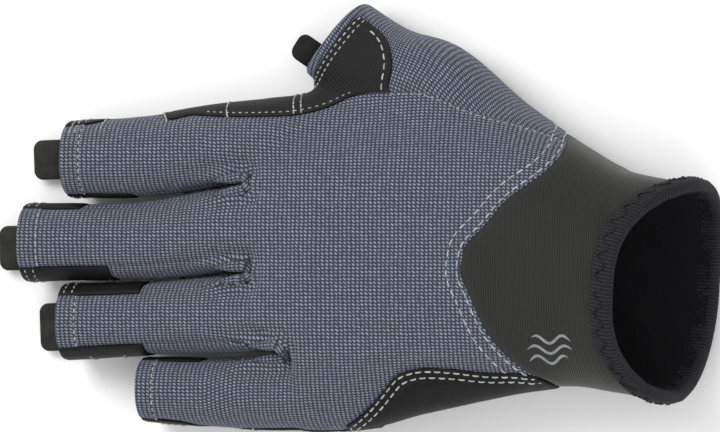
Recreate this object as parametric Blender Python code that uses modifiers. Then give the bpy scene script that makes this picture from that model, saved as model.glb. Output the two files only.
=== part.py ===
"""A short-finger sailing glove for the left hand, lying palm down as if a hand were inside it.

The frame: +X runs from the fingers to the wrist, +Y towards the thumb and +Z out of the back of the hand.
The origin is the middle of the palm patch's outer face, which is what the glove rests on.
Every size below is in millimetres, and MM turns it into Blender's metres.
"""

import math

import bmesh
import bpy
from mathutils import Matrix, Vector

MM = 0.001

# Cloth thicknesses, and the gaps that neighbouring pieces keep: plain ones, and those along a curved seam.
WOVEN = 1.2
LEATHER = 1.1
NEOPRENE = 2.4
LINING = 0.6
BINDING = 0.9
TAB = 1.2
GAP = 0.4
SEAM_GAP = 1.3

# How square a cross-section is: 2 is an ellipse, more is squarer.
HAND_SQUARENESS = 2.6
DIGIT_SQUARENESS = 2.4

# Sections of the hand from the knuckles to the wrist: x, y, z of the middle, half width, half height.
HAND_SECTIONS = (
    (-26, 0.2, 16.2, 50.3, 14.8),
    (-14, 0.5, 16.7, 50.3, 15.2),
    (5, 2.3, 17.9, 47.6, 16.4),
    (24, 2.2, 18.9, 43.6, 17.4),
    (43, 0.4, 20.2, 38.4, 18.7),
    (58, -2.3, 21.2, 34.8, 20.0),
    (70, -5.4, 22.3, 33.6, 21.0),
    (84, -8.2, 23.3, 33.9, 21.7),
    (99, -9.4, 24.2, 34.3, 22.3),
)

# The same for each finger stall from the knuckle to its open end.
FINGER_SECTIONS = {
    "index": (
        (-22, 38.2, 16.2, 12.0, 14.8),
        (-54, 36.0, 13.2, 11.9, 12.2),
        (-83, 32.3, 11.7, 11.9, 10.8),
        (-108.7, 31.1, 11.3, 11.2, 10.4),
    ),
    "middle": (
        (-22, 12.2, 16.4, 12.5, 15.0),
        (-54, 10.3, 13.6, 12.5, 12.6),
        (-83, 6.9, 11.8, 11.5, 10.9),
        (-122.4, 5.7, 11.3, 11.9, 10.4),
    ),
    "ring": (
        (-22, -13.6, 16.2, 12.0, 14.8),
        (-54, -15.3, 13.2, 11.7, 12.2),
        (-83, -17.1, 11.6, 11.0, 10.7),
        (-110, -17.4, 11.2, 11.7, 10.3),
    ),
    "little": (
        (-22, -38.2, 14.6, 11.4, 13.2),
        (-47, -39.2, 12.2, 10.9, 11.3),
        (-67, -38.9, 11.0, 10.1, 10.1),
        (-84.7, -37.9, 10.6, 9.7, 9.7),
    ),
}

# The thumb's tube, from its open end to where it disappears into the hand.
THUMB_SECTIONS = (
    (-23.4, 67.7, 12.5, 13.6, 11.5),
    (-8.5, 58.0, 13.6, 14.4, 12.6),
    (9.3, 50.5, 15.2, 15.8, 14.0),
    (26.8, 37.0, 17.0, 15.4, 15.6),
    (46.5, 22.0, 19.5, 16.0, 18.0),
)

# Where the back strip of each stall starts and ends round the section, in degrees from the thumb side.
BACK_EDGES = {
    "index": (24, 160),
    "middle": (28, 128),
    "ring": (48, 132),
    "little": (20, 158),
}
# Where its palm strip starts and ends.
PALM_EDGES = {
    "index": (203, 379),
    "middle": (205, 335),
    "ring": (205, 335),
    "little": (163, 335),
}
# The upper and lower edge of a side wall, as heights from the section's middle in half heights.
WALL_EDGES = (0.26, -0.32)
WALL_INSET = 1.3

# The row of knuckles bends as one, and each stall bends again where the finger's middle joint sits.
KNUCKLE = {"x": -26.0, "z": 14.0, "bend": 60.0, "back": 10.0}
STALL_X = {"index": -68.0, "middle": -70.0, "ring": -68.0, "little": -56.0}
STALL_Z = 11.0
STALL = {"bend": 70.0, "back": 5.0}
CROTCH_X = {"index_middle": -46.0, "middle_ring": -46.0, "ring_little": -34.0}
# The thumb swings about its seam with the hand, and the cuff about the wrist.
THUMB_LINE = ((-26.0, 50.4), (55.0, 34.0))
THUMB = {"z": 8.0, "bend": 40.0, "back": 10.0}
WRIST = {"x": 60.0, "z": 22.0, "bend": 20.0, "back": 20.0}

# The cuff: its pointed seam on the back, its straight seam on the palm and its scooped open end.
YOKE_TIP = {"x": 24.3, "turn": 92.0}
YOKE_THUMB_X = 52.0
YOKE_LITTLE_X = 44.0
PALM_SEAM_X = 46.0
CUFF_END_X = 93.0
BACK_SCOOP = 18.0
BINDING_WIDTH = 6.0

# The patch on the palm, which is flat and carries the glove: its middle, size and corners.
PATCH_MIDDLE = (18.0, 0.0)
PATCH_SIZE = (58.0, 64.0)
PATCH_CORNER = 14.0
PATCH_THICK = 1.0

# Pull tabs: how wide, how far they stand out, how far aside of the stall's middle towards the thumb,
# how high they are, and how far in front of the hem they hinge.
TABS = {
    "index": (12.0, 14.0, 0.3, 3.2),
    "middle": (13.5, 11.5, -1.6, 3.2),
    "ring": (14.5, 10.8, -1.4, 3.2),
    "thumb": (8.4, 10.5, -9.5, 6.5),
}
TAB_CORNER = 2.6
TAB_AHEAD = 1.3

THUMB_HEM = 3.6
PIVOT_SIZE = 12.0

COLOURS = {
    "woven": ((0.155, 0.18, 0.24, 1), 0.85),
    "leather": ((0.022, 0.022, 0.021, 1), 0.7),
    "neoprene": ((0.045, 0.047, 0.04, 1), 0.85),
    "lining": ((0.014, 0.014, 0.018, 1), 0.9),
    "binding": ((0.03, 0.03, 0.034, 1), 0.9),
    "tab": ((0.045, 0.044, 0.043, 1), 0.6),
}


def clear_scene():
    for old in list(bpy.data.objects):
        bpy.data.objects.remove(old)


def material(name):
    made = bpy.data.materials.get(name)
    if made is None:
        made = bpy.data.materials.new(name)
        made.use_nodes = True
        shader = made.node_tree.nodes["Principled BSDF"]
        shader.inputs["Base Color"].default_value, rough = COLOURS[name]
        shader.inputs["Roughness"].default_value = rough
        shader.inputs["Metallic"].default_value = 0.0
    return made


def ramp(value, start, end):
    """0 before start, 1 after end, and even in between."""
    return min(1.0, max(0.0, (value - start) / (end - start)))


class Tube:
    """A soft tube given by a few cross-sections, read by the X of its centre line."""

    def __init__(self, sections, squareness, turns=True):
        self.sections = sorted(sections)
        self.power = 2.0 / squareness
        self.turns = turns

    def at(self, x):
        """Middle y, middle z, half width and half height at x, on a smooth curve through the sections."""
        rows = self.sections
        i = max(1, min(len(rows) - 1, sum(row[0] <= x for row in rows)))
        low, high = rows[i - 1], rows[i]
        before, after = rows[max(0, i - 2)], rows[min(len(rows) - 1, i + 1)]
        span = high[0] - low[0]
        t = min(1.0, max(0.0, (x - low[0]) / span))
        found = []
        for k in range(1, 5):
            start = (high[k] - before[k]) / (high[0] - before[0]) * span
            end = (after[k] - low[k]) / (after[0] - low[0]) * span
            found.append(
                (2 * t**3 - 3 * t**2 + 1) * low[k]
                + (t**3 - 2 * t**2 + t) * start
                + (3 * t**2 - 2 * t**3) * high[k]
                + (t**3 - t**2) * end
            )
        return found

    def across(self, x):
        """The direction across the tube at x, level with the table and towards the thumb side."""
        if not self.turns:
            return Vector((0, 1, 0))
        slope = (self.at(x + 1)[0] - self.at(x - 1)[0]) / 2
        return Vector((-slope, 1, 0)).normalized()

    def point(self, x, degrees, grow=0.0):
        """The surface point of section x at this turn from the thumb side, grown outwards by grow."""
        y, z, half_width, half_height = self.at(x)
        turn = math.radians(degrees)
        c, s = math.cos(turn), math.sin(turn)
        wide = math.copysign(abs(c) ** self.power, c) * (half_width + grow)
        high = math.copysign(abs(s) ** self.power, s) * (half_height + grow)
        return Vector((x, y, z)) + wide * self.across(x) + Vector((0, 0, high))


def add_object(name, mesh, cloth, collection):
    obj = bpy.data.objects.new(name, mesh)
    collection.objects.link(obj)
    if cloth:
        mesh.materials.append(material(cloth))
    mesh.shade_smooth()
    mesh.set_sharp_from_angle(angle=math.radians(50))
    return obj


def mapped_grid(name, steps, place, closed=False):
    """A grid mesh whose points place(a, b) puts in millimetres, with a and b from 0 to 1."""
    bm = bmesh.new()
    bmesh.ops.create_grid(bm, x_segments=steps[0], y_segments=steps[1], size=0.5)
    for vert in bm.verts:
        b = (vert.co.y + 0.5) % 1.0 if closed and vert.co.y > 0.4999 else vert.co.y + 0.5
        vert.co = place(vert.co.x + 0.5, b) * MM
    if closed:
        bmesh.ops.remove_doubles(bm, verts=bm.verts[:], dist=0.01 * MM)
    mesh = bpy.data.meshes.new(name)
    bm.to_mesh(mesh)
    bm.free()
    return mesh


def shell(name, mesh, outwards, cloth, thickness, collection, offset=-1):
    """An open surface given its thickness. outwards is the side that its faces turn to, as a point to direction."""
    face = mesh.polygons[len(mesh.polygons) // 2]
    if face.normal.dot(outwards(face.center / MM)) < 0:
        mesh.flip_normals()
    obj = add_object(name, mesh, cloth, collection)
    solid = obj.modifiers.new("thickness", "SOLIDIFY")
    solid.thickness = thickness * MM
    solid.offset = offset
    solid.use_even_offset = True
    return obj


def away_from(tube):
    """For a point on a tube, the direction away from its centre line."""

    def direction(point):
        y, z, _, _ = tube.at(point.x)
        return Vector((0, point.y - y, point.z - z))

    return direction


def value(edge, at):
    return edge(at) if callable(edge) else edge


def strip(name, tube, ends, edges, cloth, thickness, collection, steps=(5, 9)):
    """A panel on a tube. ends are its limits in x and edges its limits in turn, as a number or a function of x."""

    def place(a, b):
        x = ends[0] + (ends[1] - ends[0]) * a
        low, high = value(edges[0], x), value(edges[1], x)
        return tube.point(x, low + (high - low) * b)

    mesh = mapped_grid(name, steps, place)
    return shell(name, mesh, away_from(tube), cloth, thickness, collection)


def sleeve(name, tube, ends, cloth, thickness, collection, steps=(3, 28), grow=0.0):
    """A panel all round a tube. ends are its limits in x, as a number or a function of the turn."""

    def place(a, b):
        turn = 360.0 * b
        first, last = value(ends[0], turn), value(ends[1], turn)
        return tube.point(first + (last - first) * a, turn, grow)

    mesh = mapped_grid(name, steps, place, closed=True)
    return shell(name, mesh, away_from(tube), cloth, thickness, collection)


def rounded_plate(name, size, corner, thickness, cloth, collection):
    """A level plate with round corners, its middle at the origin and its lower face at z 0."""
    bm = bmesh.new()
    bmesh.ops.create_cube(bm, size=1)
    for vert in bm.verts:
        vert.co = Vector((vert.co.x * size[0], vert.co.y * size[1], (vert.co.z + 0.5) * thickness)) * MM
    upright = [e for e in bm.edges if abs(e.verts[0].co.z - e.verts[1].co.z) > 0.5 * thickness * MM]
    bmesh.ops.bevel(bm, geom=upright, offset=corner * MM, segments=4, profile=0.5, affect="EDGES")
    mesh = bpy.data.meshes.new(name)
    bm.to_mesh(mesh)
    bm.free()
    return add_object(name, mesh, cloth, collection)


def beyond(name, place, ahead, hinge, collection):
    """A cutter that is all the room on the ahead side of a hinge line, less half of the wedge for its bend."""
    reach, drop, rise, length = 60.0, 24.0, 40.0, 150.0
    clear = GAP / 2 + 0.15
    low = clear + drop * math.tan(math.radians(hinge["bend"] / 2 + 1))
    high = clear + rise * math.tan(math.radians(hinge["back"] / 2 + 1))
    outline = ((-low, -drop), (reach, -drop), (reach, rise), (-high, rise), (-clear, 0))
    ahead = Vector(ahead).normalized()
    axis = ahead.cross(Vector((0, 0, 1)))
    base = Vector(place) - axis * length / 2
    bm = bmesh.new()
    face = bm.faces.new([bm.verts.new((base + ahead * a + Vector((0, 0, b))) * MM) for a, b in outline])
    pulled = bmesh.ops.extrude_face_region(bm, geom=[face])["geom"]
    moved = [item for item in pulled if isinstance(item, bmesh.types.BMVert)]
    bmesh.ops.translate(bm, verts=moved, vec=axis * length * MM)
    bmesh.ops.recalc_face_normals(bm, faces=bm.faces[:])
    mesh = bpy.data.meshes.new(name)
    bm.to_mesh(mesh)
    bm.free()
    cutter = add_object(name, mesh, None, collection)
    cutter.hide_render = True
    cutter.display_type = "WIRE"
    return cutter


def trim(pieces, cutter):
    for obj in pieces:
        cut = obj.modifiers.new("trim_" + cutter.name, "BOOLEAN")
        cut.operation = "DIFFERENCE"
        cut.object = cutter


def part_at_hinge(behind, ahead, name, place, direction, hinge, cutters):
    """Trims the pieces on both sides of a hinge line, so that they clear each other as it bends."""
    trim(behind, beyond(name + "_ahead", place, direction, hinge, cutters))
    back = tuple(-step for step in direction)
    trim(ahead, beyond(name + "_behind", place, back, hinge, cutters))


def yoke_seam(turn):
    """The pointed seam between the back of the hand and the cuff: its x at this turn."""
    side, span = (YOKE_THUMB_X, YOKE_TIP["turn"]) if turn <= YOKE_TIP["turn"] else (YOKE_LITTLE_X, 88.0)
    share = ramp(abs(turn - YOKE_TIP["turn"]), span, 0)
    return side + (YOKE_TIP["x"] - side) * math.sin(share * math.pi / 2) ** 1.4


def cuff_front(turn):
    """Where the cuff starts at this turn: pointed on the back, straight on the palm."""
    if turn <= 180:
        return yoke_seam(turn)
    side = YOKE_LITTLE_X if turn < 270 else YOKE_THUMB_X
    share = min(ramp(turn, 180, 210), ramp(turn, 360, 330))
    return side + (PALM_SEAM_X - side) * share


def cuff_end(turn):
    """The open end of the cuff: scooped on the back and longest under the palm."""
    side, top = math.cos(math.radians(turn)), math.sin(math.radians(turn))
    return CUFF_END_X + 3.0 * side - BACK_SCOOP * max(0.0, top) ** 1.5 + 2.0 * max(0.0, -top)


def make_hand(tube, parts):
    """Back panel, palm panel and palm patch. Both panels end along the cuff's front edge."""
    front = KNUCKLE["x"] - 2

    def thumb_edge(x):
        return 26 + 8 * ramp(x, -20, 10)

    def little_edge(x):
        return 184 - 46 * ramp(x, -20, 8)

    def panel(name, low_edge, high_edge, cloth, thickness):
        def place(a, b):
            low, high = low_edge(CUFF_END_X), high_edge(CUFF_END_X)
            end = cuff_front(low + (high - low) * b) - SEAM_GAP
            x = front + (end - front) * a
            low, high = low_edge(x), high_edge(x)
            return tube.point(x, low + (high - low) * b)

        mesh = mapped_grid(name, (12, 16), place)
        return shell(name, mesh, away_from(tube), cloth, thickness, parts)

    back = panel("back_panel", thumb_edge, lambda x: little_edge(x) - 2, "woven", WOVEN)
    palm = panel(
        "palm_panel", lambda x: little_edge(x) + 2, lambda x: 384 - 62 * ramp(x, -32, -20), "leather", LEATHER
    )
    patch = rounded_plate("palm_patch", PATCH_SIZE, PATCH_CORNER, PATCH_THICK, "leather", parts)
    patch.location = Vector((*PATCH_MIDDLE, 0)) * MM
    return back, palm


def make_cuff(tube, parts):
    """The neoprene on both sides of the wrist, the lining and the binding round the open end."""
    past = 2
    yoke = sleeve("cuff_yoke", tube, (cuff_front, WRIST["x"] + past), "neoprene", NEOPRENE, parts, (3, 32))
    outer = sleeve(
        "cuff_sleeve",
        tube,
        (WRIST["x"] - past, lambda turn: cuff_end(turn) - BINDING - 2 * GAP),
        "neoprene",
        NEOPRENE,
        parts,
        (3, 32),
    )
    lining = sleeve(
        "cuff_lining",
        tube,
        (WRIST["x"] - past, lambda turn: cuff_end(turn) - BINDING_WIDTH - GAP),
        "lining",
        LINING,
        parts,
        (3, 32),
        -NEOPRENE - 2.5 * GAP,
    )
    outside, inside = 2 * GAP + BINDING, -NEOPRENE - 2 * GAP - BINDING
    profile = ((BINDING_WIDTH, outside), (0.0, outside), (0.0, inside), (BINDING_WIDTH, inside))

    def place(a, b):
        back, grow = profile[round(a * 3)]
        turn = 360.0 * b
        return tube.point(cuff_end(turn) - back, turn, grow)

    mesh = mapped_grid("cuff_binding", (3, 32), place, closed=True)
    end_face = max(mesh.polygons, key=lambda face: abs(face.normal.x))
    if end_face.normal.x < 0:
        mesh.flip_normals()
    binding = add_object("cuff_binding", mesh, "binding", parts)
    solid = binding.modifiers.new("thickness", "SOLIDIFY")
    solid.thickness = BINDING * MM
    solid.offset = -1
    solid.use_even_offset = True
    return yoke, (outer, lining, binding)


def make_stall(name, tube, parts):
    """A finger stall: back and palm up to its middle joint, then back and wrap to the open end."""
    tip, joint, root = tube.sections[0][0], STALL_X[name], KNUCKLE["x"] + 2
    back, palm = BACK_EDGES[name], PALM_EDGES[name]
    wrap = (back[1] + 5, back[0] + 355)
    near = (
        strip(f"{name}_back", tube, (joint - 2, root), back, "woven", WOVEN, parts, (3, 7)),
        strip(f"{name}_palm", tube, (joint - 2, root), palm, "leather", LEATHER, parts, (3, 7)),
    )
    far = (
        strip(f"{name}_tip_back", tube, (tip, joint + 2), back, "woven", WOVEN, parts, (2, 7)),
        strip(f"{name}_tip_wrap", tube, (tip, joint + 2), wrap, "leather", LEATHER, parts, (2, 12)),
    )
    return near, far


def make_fourchette(thumb_side, little_side, tubes, parts):
    """The side walls between two stalls: one strip that turns round where they meet."""
    pair = f"{thumb_side}_{little_side}"
    crotch, stop = CROTCH_X[pair], 3.8

    def place(a, b):
        finger, side = (thumb_side, -1) if b < 0.5 else (little_side, 1)
        tube = tubes[finger]
        x = crotch + (STALL_X[finger] + stop - crotch) * abs(2 * b - 1)
        y, z, half_width, half_height = tube.at(x)
        if abs(b - 0.5) < 0.01:
            other = tubes[thumb_side].at(x)
            y = (y + half_width + other[0] - other[2]) / 2
            return Vector((x + 1.5, y, z + half_height * (WALL_EDGES[0] + (WALL_EDGES[1] - WALL_EDGES[0]) * a)))
        level = WALL_EDGES[0] + (WALL_EDGES[1] - WALL_EDGES[0]) * a
        return Vector((x, y + side * (half_width - WALL_INSET), z + half_height * level))

    name = f"fourchette_{pair}"
    mesh = mapped_grid(name, (1, 8), place)
    return shell(name, mesh, lambda point: Vector((1, 0, 0)), "woven", WOVEN, parts, 0)


def make_thumb(tube, parts):
    """The hem band at the open end, the woven outer side and the leather inner side."""
    tip, root = tube.sections[0][0], tube.sections[-1][0] + 8

    def inner_edge(x):
        return 62 + 60 * ramp(x, tip, tip + 20)

    start = tip + THUMB_HEM + 1.5 * SEAM_GAP
    hem = sleeve("thumb_hem", tube, (tip, tip + THUMB_HEM), "woven", WOVEN, parts, (1, 20))
    outer = strip("thumb_back", tube, (start, root), (-48, inner_edge), "woven", WOVEN, parts, (7, 10))
    edges = (lambda x: inner_edge(x) + 3, 309)
    inner = strip("thumb_palm", tube, (start, root), edges, "leather", LEATHER, parts, (7, 12))
    return hem, outer, inner


def tab_hinge(name, tube):
    """The middle of a tab's hinge line, and the level direction out of the stall."""
    _, _, aside, height = TABS[name]
    tip = tube.sections[0][0]
    across = tube.across(tip)
    ahead = Vector((-across.y, across.x, 0))
    return Vector((tip, tube.at(tip)[0], height)) + ahead * TAB_AHEAD + across * aside, ahead


def make_tab(name, tube, parts):
    """A pull tab in front of a stall's open end, turned with the stall, its near edge on its hinge line."""
    width, reach, _, _ = TABS[name]
    hinge, ahead = tab_hinge(name, tube)
    plate = rounded_plate(f"{name}_tab", (reach, width), TAB_CORNER, TAB, "tab", parts)
    plate.location = (hinge + ahead * reach / 2 - Vector((0, 0, TAB / 2))) * MM
    plate.rotation_euler.z = math.atan2(-ahead.y, -ahead.x)
    return plate


def add_pivot(name, place, axis, pieces, collection, carrier=None):
    """An empty on a joint's axis, its own X along the axis, that carries the pieces that move with it."""
    pivot = bpy.data.objects.new(name, None)
    pivot.empty_display_size = PIVOT_SIZE * MM
    collection.objects.link(pivot)
    turned = Vector(axis).to_track_quat("X", "Z").to_matrix().to_4x4()
    pivot.matrix_world = Matrix.Translation(Vector(place) * MM) @ turned
    home = pivot.matrix_world.inverted()
    if carrier:
        pivot.parent = carrier
        pivot.matrix_parent_inverse = carrier.matrix_world.inverted()
    for piece in pieces:
        piece.parent = pivot
        piece.matrix_parent_inverse = home
    return pivot


def main():
    clear_scene()
    scene = bpy.context.scene.collection
    parts = bpy.data.collections.new("sailing_glove")
    cutters = bpy.data.collections.new("cutters")
    scene.children.link(parts)
    scene.children.link(cutters)

    hand = Tube(HAND_SECTIONS, HAND_SQUARENESS, turns=False)
    thumb = Tube(THUMB_SECTIONS, DIGIT_SQUARENESS)
    fingers = {name: Tube(rows, DIGIT_SQUARENESS) for name, rows in FINGER_SECTIONS.items()}

    hand_panels = make_hand(hand, parts)
    yoke, cuff = make_cuff(hand, parts)
    thumb_panels = make_thumb(thumb, parts)
    near, far, joints = {}, {}, {}
    for name, tube in fingers.items():
        near[name], far[name] = make_stall(name, tube, parts)
        place = (STALL_X[name], tube.at(STALL_X[name])[0], STALL_Z)
        across = tube.across(STALL_X[name])
        joints[name] = (place, across)
        ahead = (-across.y, across.x, 0)
        part_at_hinge(near[name], far[name], f"{name}_hinge", place, ahead, STALL, cutters)
    walls = [make_fourchette(*pair.split("_"), fingers, parts) for pair in CROTCH_X]
    row = [piece for pieces in near.values() for piece in pieces]

    place = (KNUCKLE["x"], 0, KNUCKLE["z"])
    part_at_hinge(hand_panels, row, "knuckle_hinge", place, (-1, 0, 0), KNUCKLE, cutters)
    knuckles = add_pivot("knuckle_bend", place, (0, -1, 0), [*row, *walls], parts)
    (x0, y0), (x1, y1) = THUMB_LINE
    place = ((x0 + x1) / 2, (y0 + y1) / 2, THUMB["z"])
    outwards = (y0 - y1, x1 - x0, 0)
    part_at_hinge([*hand_panels, yoke], thumb_panels, "thumb_hinge", place, outwards, THUMB, cutters)
    carriers = {"thumb": add_pivot("thumb_bend", place, (x0 - x1, y0 - y1, 0), thumb_panels, parts)}
    place = (WRIST["x"], 0, WRIST["z"])
    part_at_hinge([yoke], cuff, "wrist_hinge", place, (1, 0, 0), WRIST, cutters)
    add_pivot("wrist_bend", place, (0, 1, 0), cuff, parts)

    for name, (place, across) in joints.items():
        carriers[name] = add_pivot(f"{name}_bend", place, -across, far[name], parts, knuckles)
    for name in TABS:
        tube = thumb if name == "thumb" else fingers[name]
        place, ahead = tab_hinge(name, tube)
        axis = (-ahead.y, ahead.x, 0)
        add_pivot(f"{name}_tab_flap", place, axis, [make_tab(name, tube, parts)], parts, carriers[name])


main()
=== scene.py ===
"""The looks of a left-hand, short-finger sailing glove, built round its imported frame.

The glove's outer form is one smooth surface: tubes for the hand, the fingers and the thumb, melted together.
That surface is cut along the maker's pattern lines into panels, and each panel is given its own thickness.
The seams, tape, tabs and threads are laid on it. Lengths are in millimetres until a mesh is made.
"""

from __future__ import annotations

import logging
import math
from collections.abc import Callable, Sequence
from dataclasses import dataclass, field
from enum import Enum
from typing import ClassVar

import bpy
import numpy as np
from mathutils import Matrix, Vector
from mathutils.bvhtree import BVHTree
from mathutils.kdtree import KDTree

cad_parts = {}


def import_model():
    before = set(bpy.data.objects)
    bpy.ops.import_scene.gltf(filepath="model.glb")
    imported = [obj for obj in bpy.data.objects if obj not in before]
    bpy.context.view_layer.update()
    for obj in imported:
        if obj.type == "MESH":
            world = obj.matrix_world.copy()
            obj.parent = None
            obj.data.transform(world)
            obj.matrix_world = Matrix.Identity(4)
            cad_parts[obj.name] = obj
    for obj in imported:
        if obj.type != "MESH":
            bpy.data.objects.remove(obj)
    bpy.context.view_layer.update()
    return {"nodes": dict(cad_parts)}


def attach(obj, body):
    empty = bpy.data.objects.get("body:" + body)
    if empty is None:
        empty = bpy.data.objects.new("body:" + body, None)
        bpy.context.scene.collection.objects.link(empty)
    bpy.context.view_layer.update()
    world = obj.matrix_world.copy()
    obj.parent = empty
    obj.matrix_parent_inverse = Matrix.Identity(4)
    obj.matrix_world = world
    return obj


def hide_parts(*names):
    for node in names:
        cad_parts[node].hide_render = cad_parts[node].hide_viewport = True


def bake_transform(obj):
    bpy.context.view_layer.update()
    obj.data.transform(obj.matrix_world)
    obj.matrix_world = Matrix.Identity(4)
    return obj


LOG = logging.getLogger("sailing_glove")
MM = 0.001
Array = np.ndarray


def smoothstep(value: Array, start: float, end: float) -> Array:
    """A smooth ramp from 0 at start to 1 at end.

    Args:
        value: the numbers to ramp.
        start: where the ramp is 0.
        end: where the ramp is 1.

    Returns:
        The ramp's height at each number.
    """
    share = np.clip((value - start) / (end - start), 0, 1)
    return share * share * (3 - 2 * share)


def along(rows: Sequence[tuple[float, float]], at: Array) -> Array:
    """Reads a smooth curve through (place, value) rows.

    Args:
        rows: the curve's points, in order of place.
        at: the places to read it at.

    Returns:
        The curve's value at each place, held level past both ends.
    """
    places, values = np.array(rows, float).T
    slopes = np.gradient(values, places)
    at = np.clip(at, places[0], places[-1])
    low = np.clip(np.searchsorted(places, at, side="right") - 1, 0, len(places) - 2)
    span = places[low + 1] - places[low]
    t = (at - places[low]) / span
    return (
        (2 * t**3 - 3 * t**2 + 1) * values[low]
        + (t**3 - 2 * t**2 + t) * span * slopes[low]
        + (3 * t**2 - 2 * t**3) * values[low + 1]
        + (t**3 - t**2) * span * slopes[low + 1]
    )


def unit(vectors: Array) -> Array:
    """Scales each row to length 1."""
    return vectors / np.maximum(np.linalg.norm(vectors, axis=-1, keepdims=True), 1e-12)


def melt(a: Array, b: Array, reach: float) -> Array:
    """Joins two distance fields with a soft fillet.

    Args:
        a: the first field.
        b: the second field.
        reach: how wide the fillet is.

    Returns:
        The joined field.
    """
    h = np.clip(0.5 + 0.5 * (b - a) / reach, 0, 1)
    return b + (a - b) * h - reach * h * (1 - h)


class Digit(Enum):
    """The parts of the hand that have a tube of their own."""

    HAND = "hand"
    INDEX = "index"
    MIDDLE = "middle"
    RING = "ring"
    LITTLE = "little"
    THUMB = "thumb"


FINGERS = (Digit.INDEX, Digit.MIDDLE, Digit.RING, Digit.LITTLE)


@dataclass(frozen=True)
class Tube:
    """A soft tube through a few cross-sections.

    Each section is the x, y and z of its middle, its half width and its half height.
    """

    sections: tuple[tuple[float, float, float, float, float], ...]
    squareness: float
    turns: bool = True

    def table(self) -> tuple[Array, Array]:
        """The sections read at close places: the places, and a row for each of the four numbers."""
        rows = np.array(self.sections, float)
        grid = np.linspace(rows[0, 0], rows[-1, 0], 240)
        return grid, np.array([along(rows[:, [0, k]], grid) for k in range(1, 5)])

    def at(self, x: Array) -> tuple[Array, Array, Array, Array]:
        """Reads the middle's y and z, the half width and the half height.

        Args:
            x: the sections' places along the tube.

        Returns:
            The four numbers for each place.
        """
        grid, values = self.table()
        return tuple(np.interp(x, grid, row) for row in values)

    def across(self, x: Array) -> Array:
        """The level direction across the tube, towards the thumb side.

        Args:
            x: the sections' places along the tube.

        Returns:
            One unit vector in x and y for each place.
        """
        if not self.turns:
            return np.stack([np.zeros_like(x), np.ones_like(x)], axis=-1)
        grid, values = self.table()
        slope = np.interp(x, grid, np.gradient(values[0], grid))
        return unit(np.stack([-slope, np.ones_like(slope)], axis=-1))

    def local(self, points: Array) -> tuple[Array, Array, Array]:
        """Finds the section that each point belongs to.

        Args:
            points: rows of x, y and z.

        Returns:
            The section's place, and the point's offset across it and above its middle.
        """
        place = points[:, 0].copy()
        if self.turns:
            grid, values = self.table()
            for _ in range(4):
                side = self.across(place)
                middle = np.interp(place, grid, values[0])
                ahead = (points[:, 0] - place) * side[:, 1] - (points[:, 1] - middle) * side[:, 0]
                place = place + ahead * side[:, 1]
        side = self.across(place)
        middle_y, middle_z, _, _ = self.at(place)
        offset = (points[:, 0] - place) * side[:, 0] + (points[:, 1] - middle_y) * side[:, 1]
        return place, offset, points[:, 2] - middle_z

    def distance(self, points: Array) -> Array:
        """How far each point is outside the tube, negative inside."""
        place, offset, height = self.local(points)
        _, _, half_width, half_height = self.at(place)
        power = self.squareness
        scale = (np.abs(offset / half_width) ** power + np.abs(height / half_height) ** power) ** (1 / power)
        radius = np.hypot(offset, height)
        return radius * (1 - 1 / np.maximum(scale, 1e-3))

    def turn(self, points: Array) -> Array:
        """Each point's turn round its section in degrees, 0 on the thumb side, 90 on the back, up to 360."""
        place, offset, height = self.local(points)
        _, _, half_width, half_height = self.at(place)
        wide = np.sign(offset) * np.abs(offset / half_width) ** (self.squareness / 2)
        high = np.sign(height) * np.abs(height / half_height) ** (self.squareness / 2)
        return np.degrees(np.arctan2(high, wide)) % 360

    def point(self, place: Array, turn: Array, grow: Array | float = 0.0) -> Array:
        """Points on the tube.

        Args:
            place: the sections' places along the tube.
            turn: the turns round them, in degrees.
            grow: how far outside the tube the points are.

        Returns:
            Rows of x, y and z.
        """
        middle_y, middle_z, half_width, half_height = self.at(place)
        c, s = np.cos(np.radians(turn)), np.sin(np.radians(turn))
        wide = np.sign(c) * np.abs(c) ** (2 / self.squareness) * (half_width + grow)
        high = np.sign(s) * np.abs(s) ** (2 / self.squareness) * (half_height + grow)
        side = self.across(place)
        return np.stack([place + wide * side[:, 0], middle_y + wide * side[:, 1], middle_z + high], axis=1)


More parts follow.
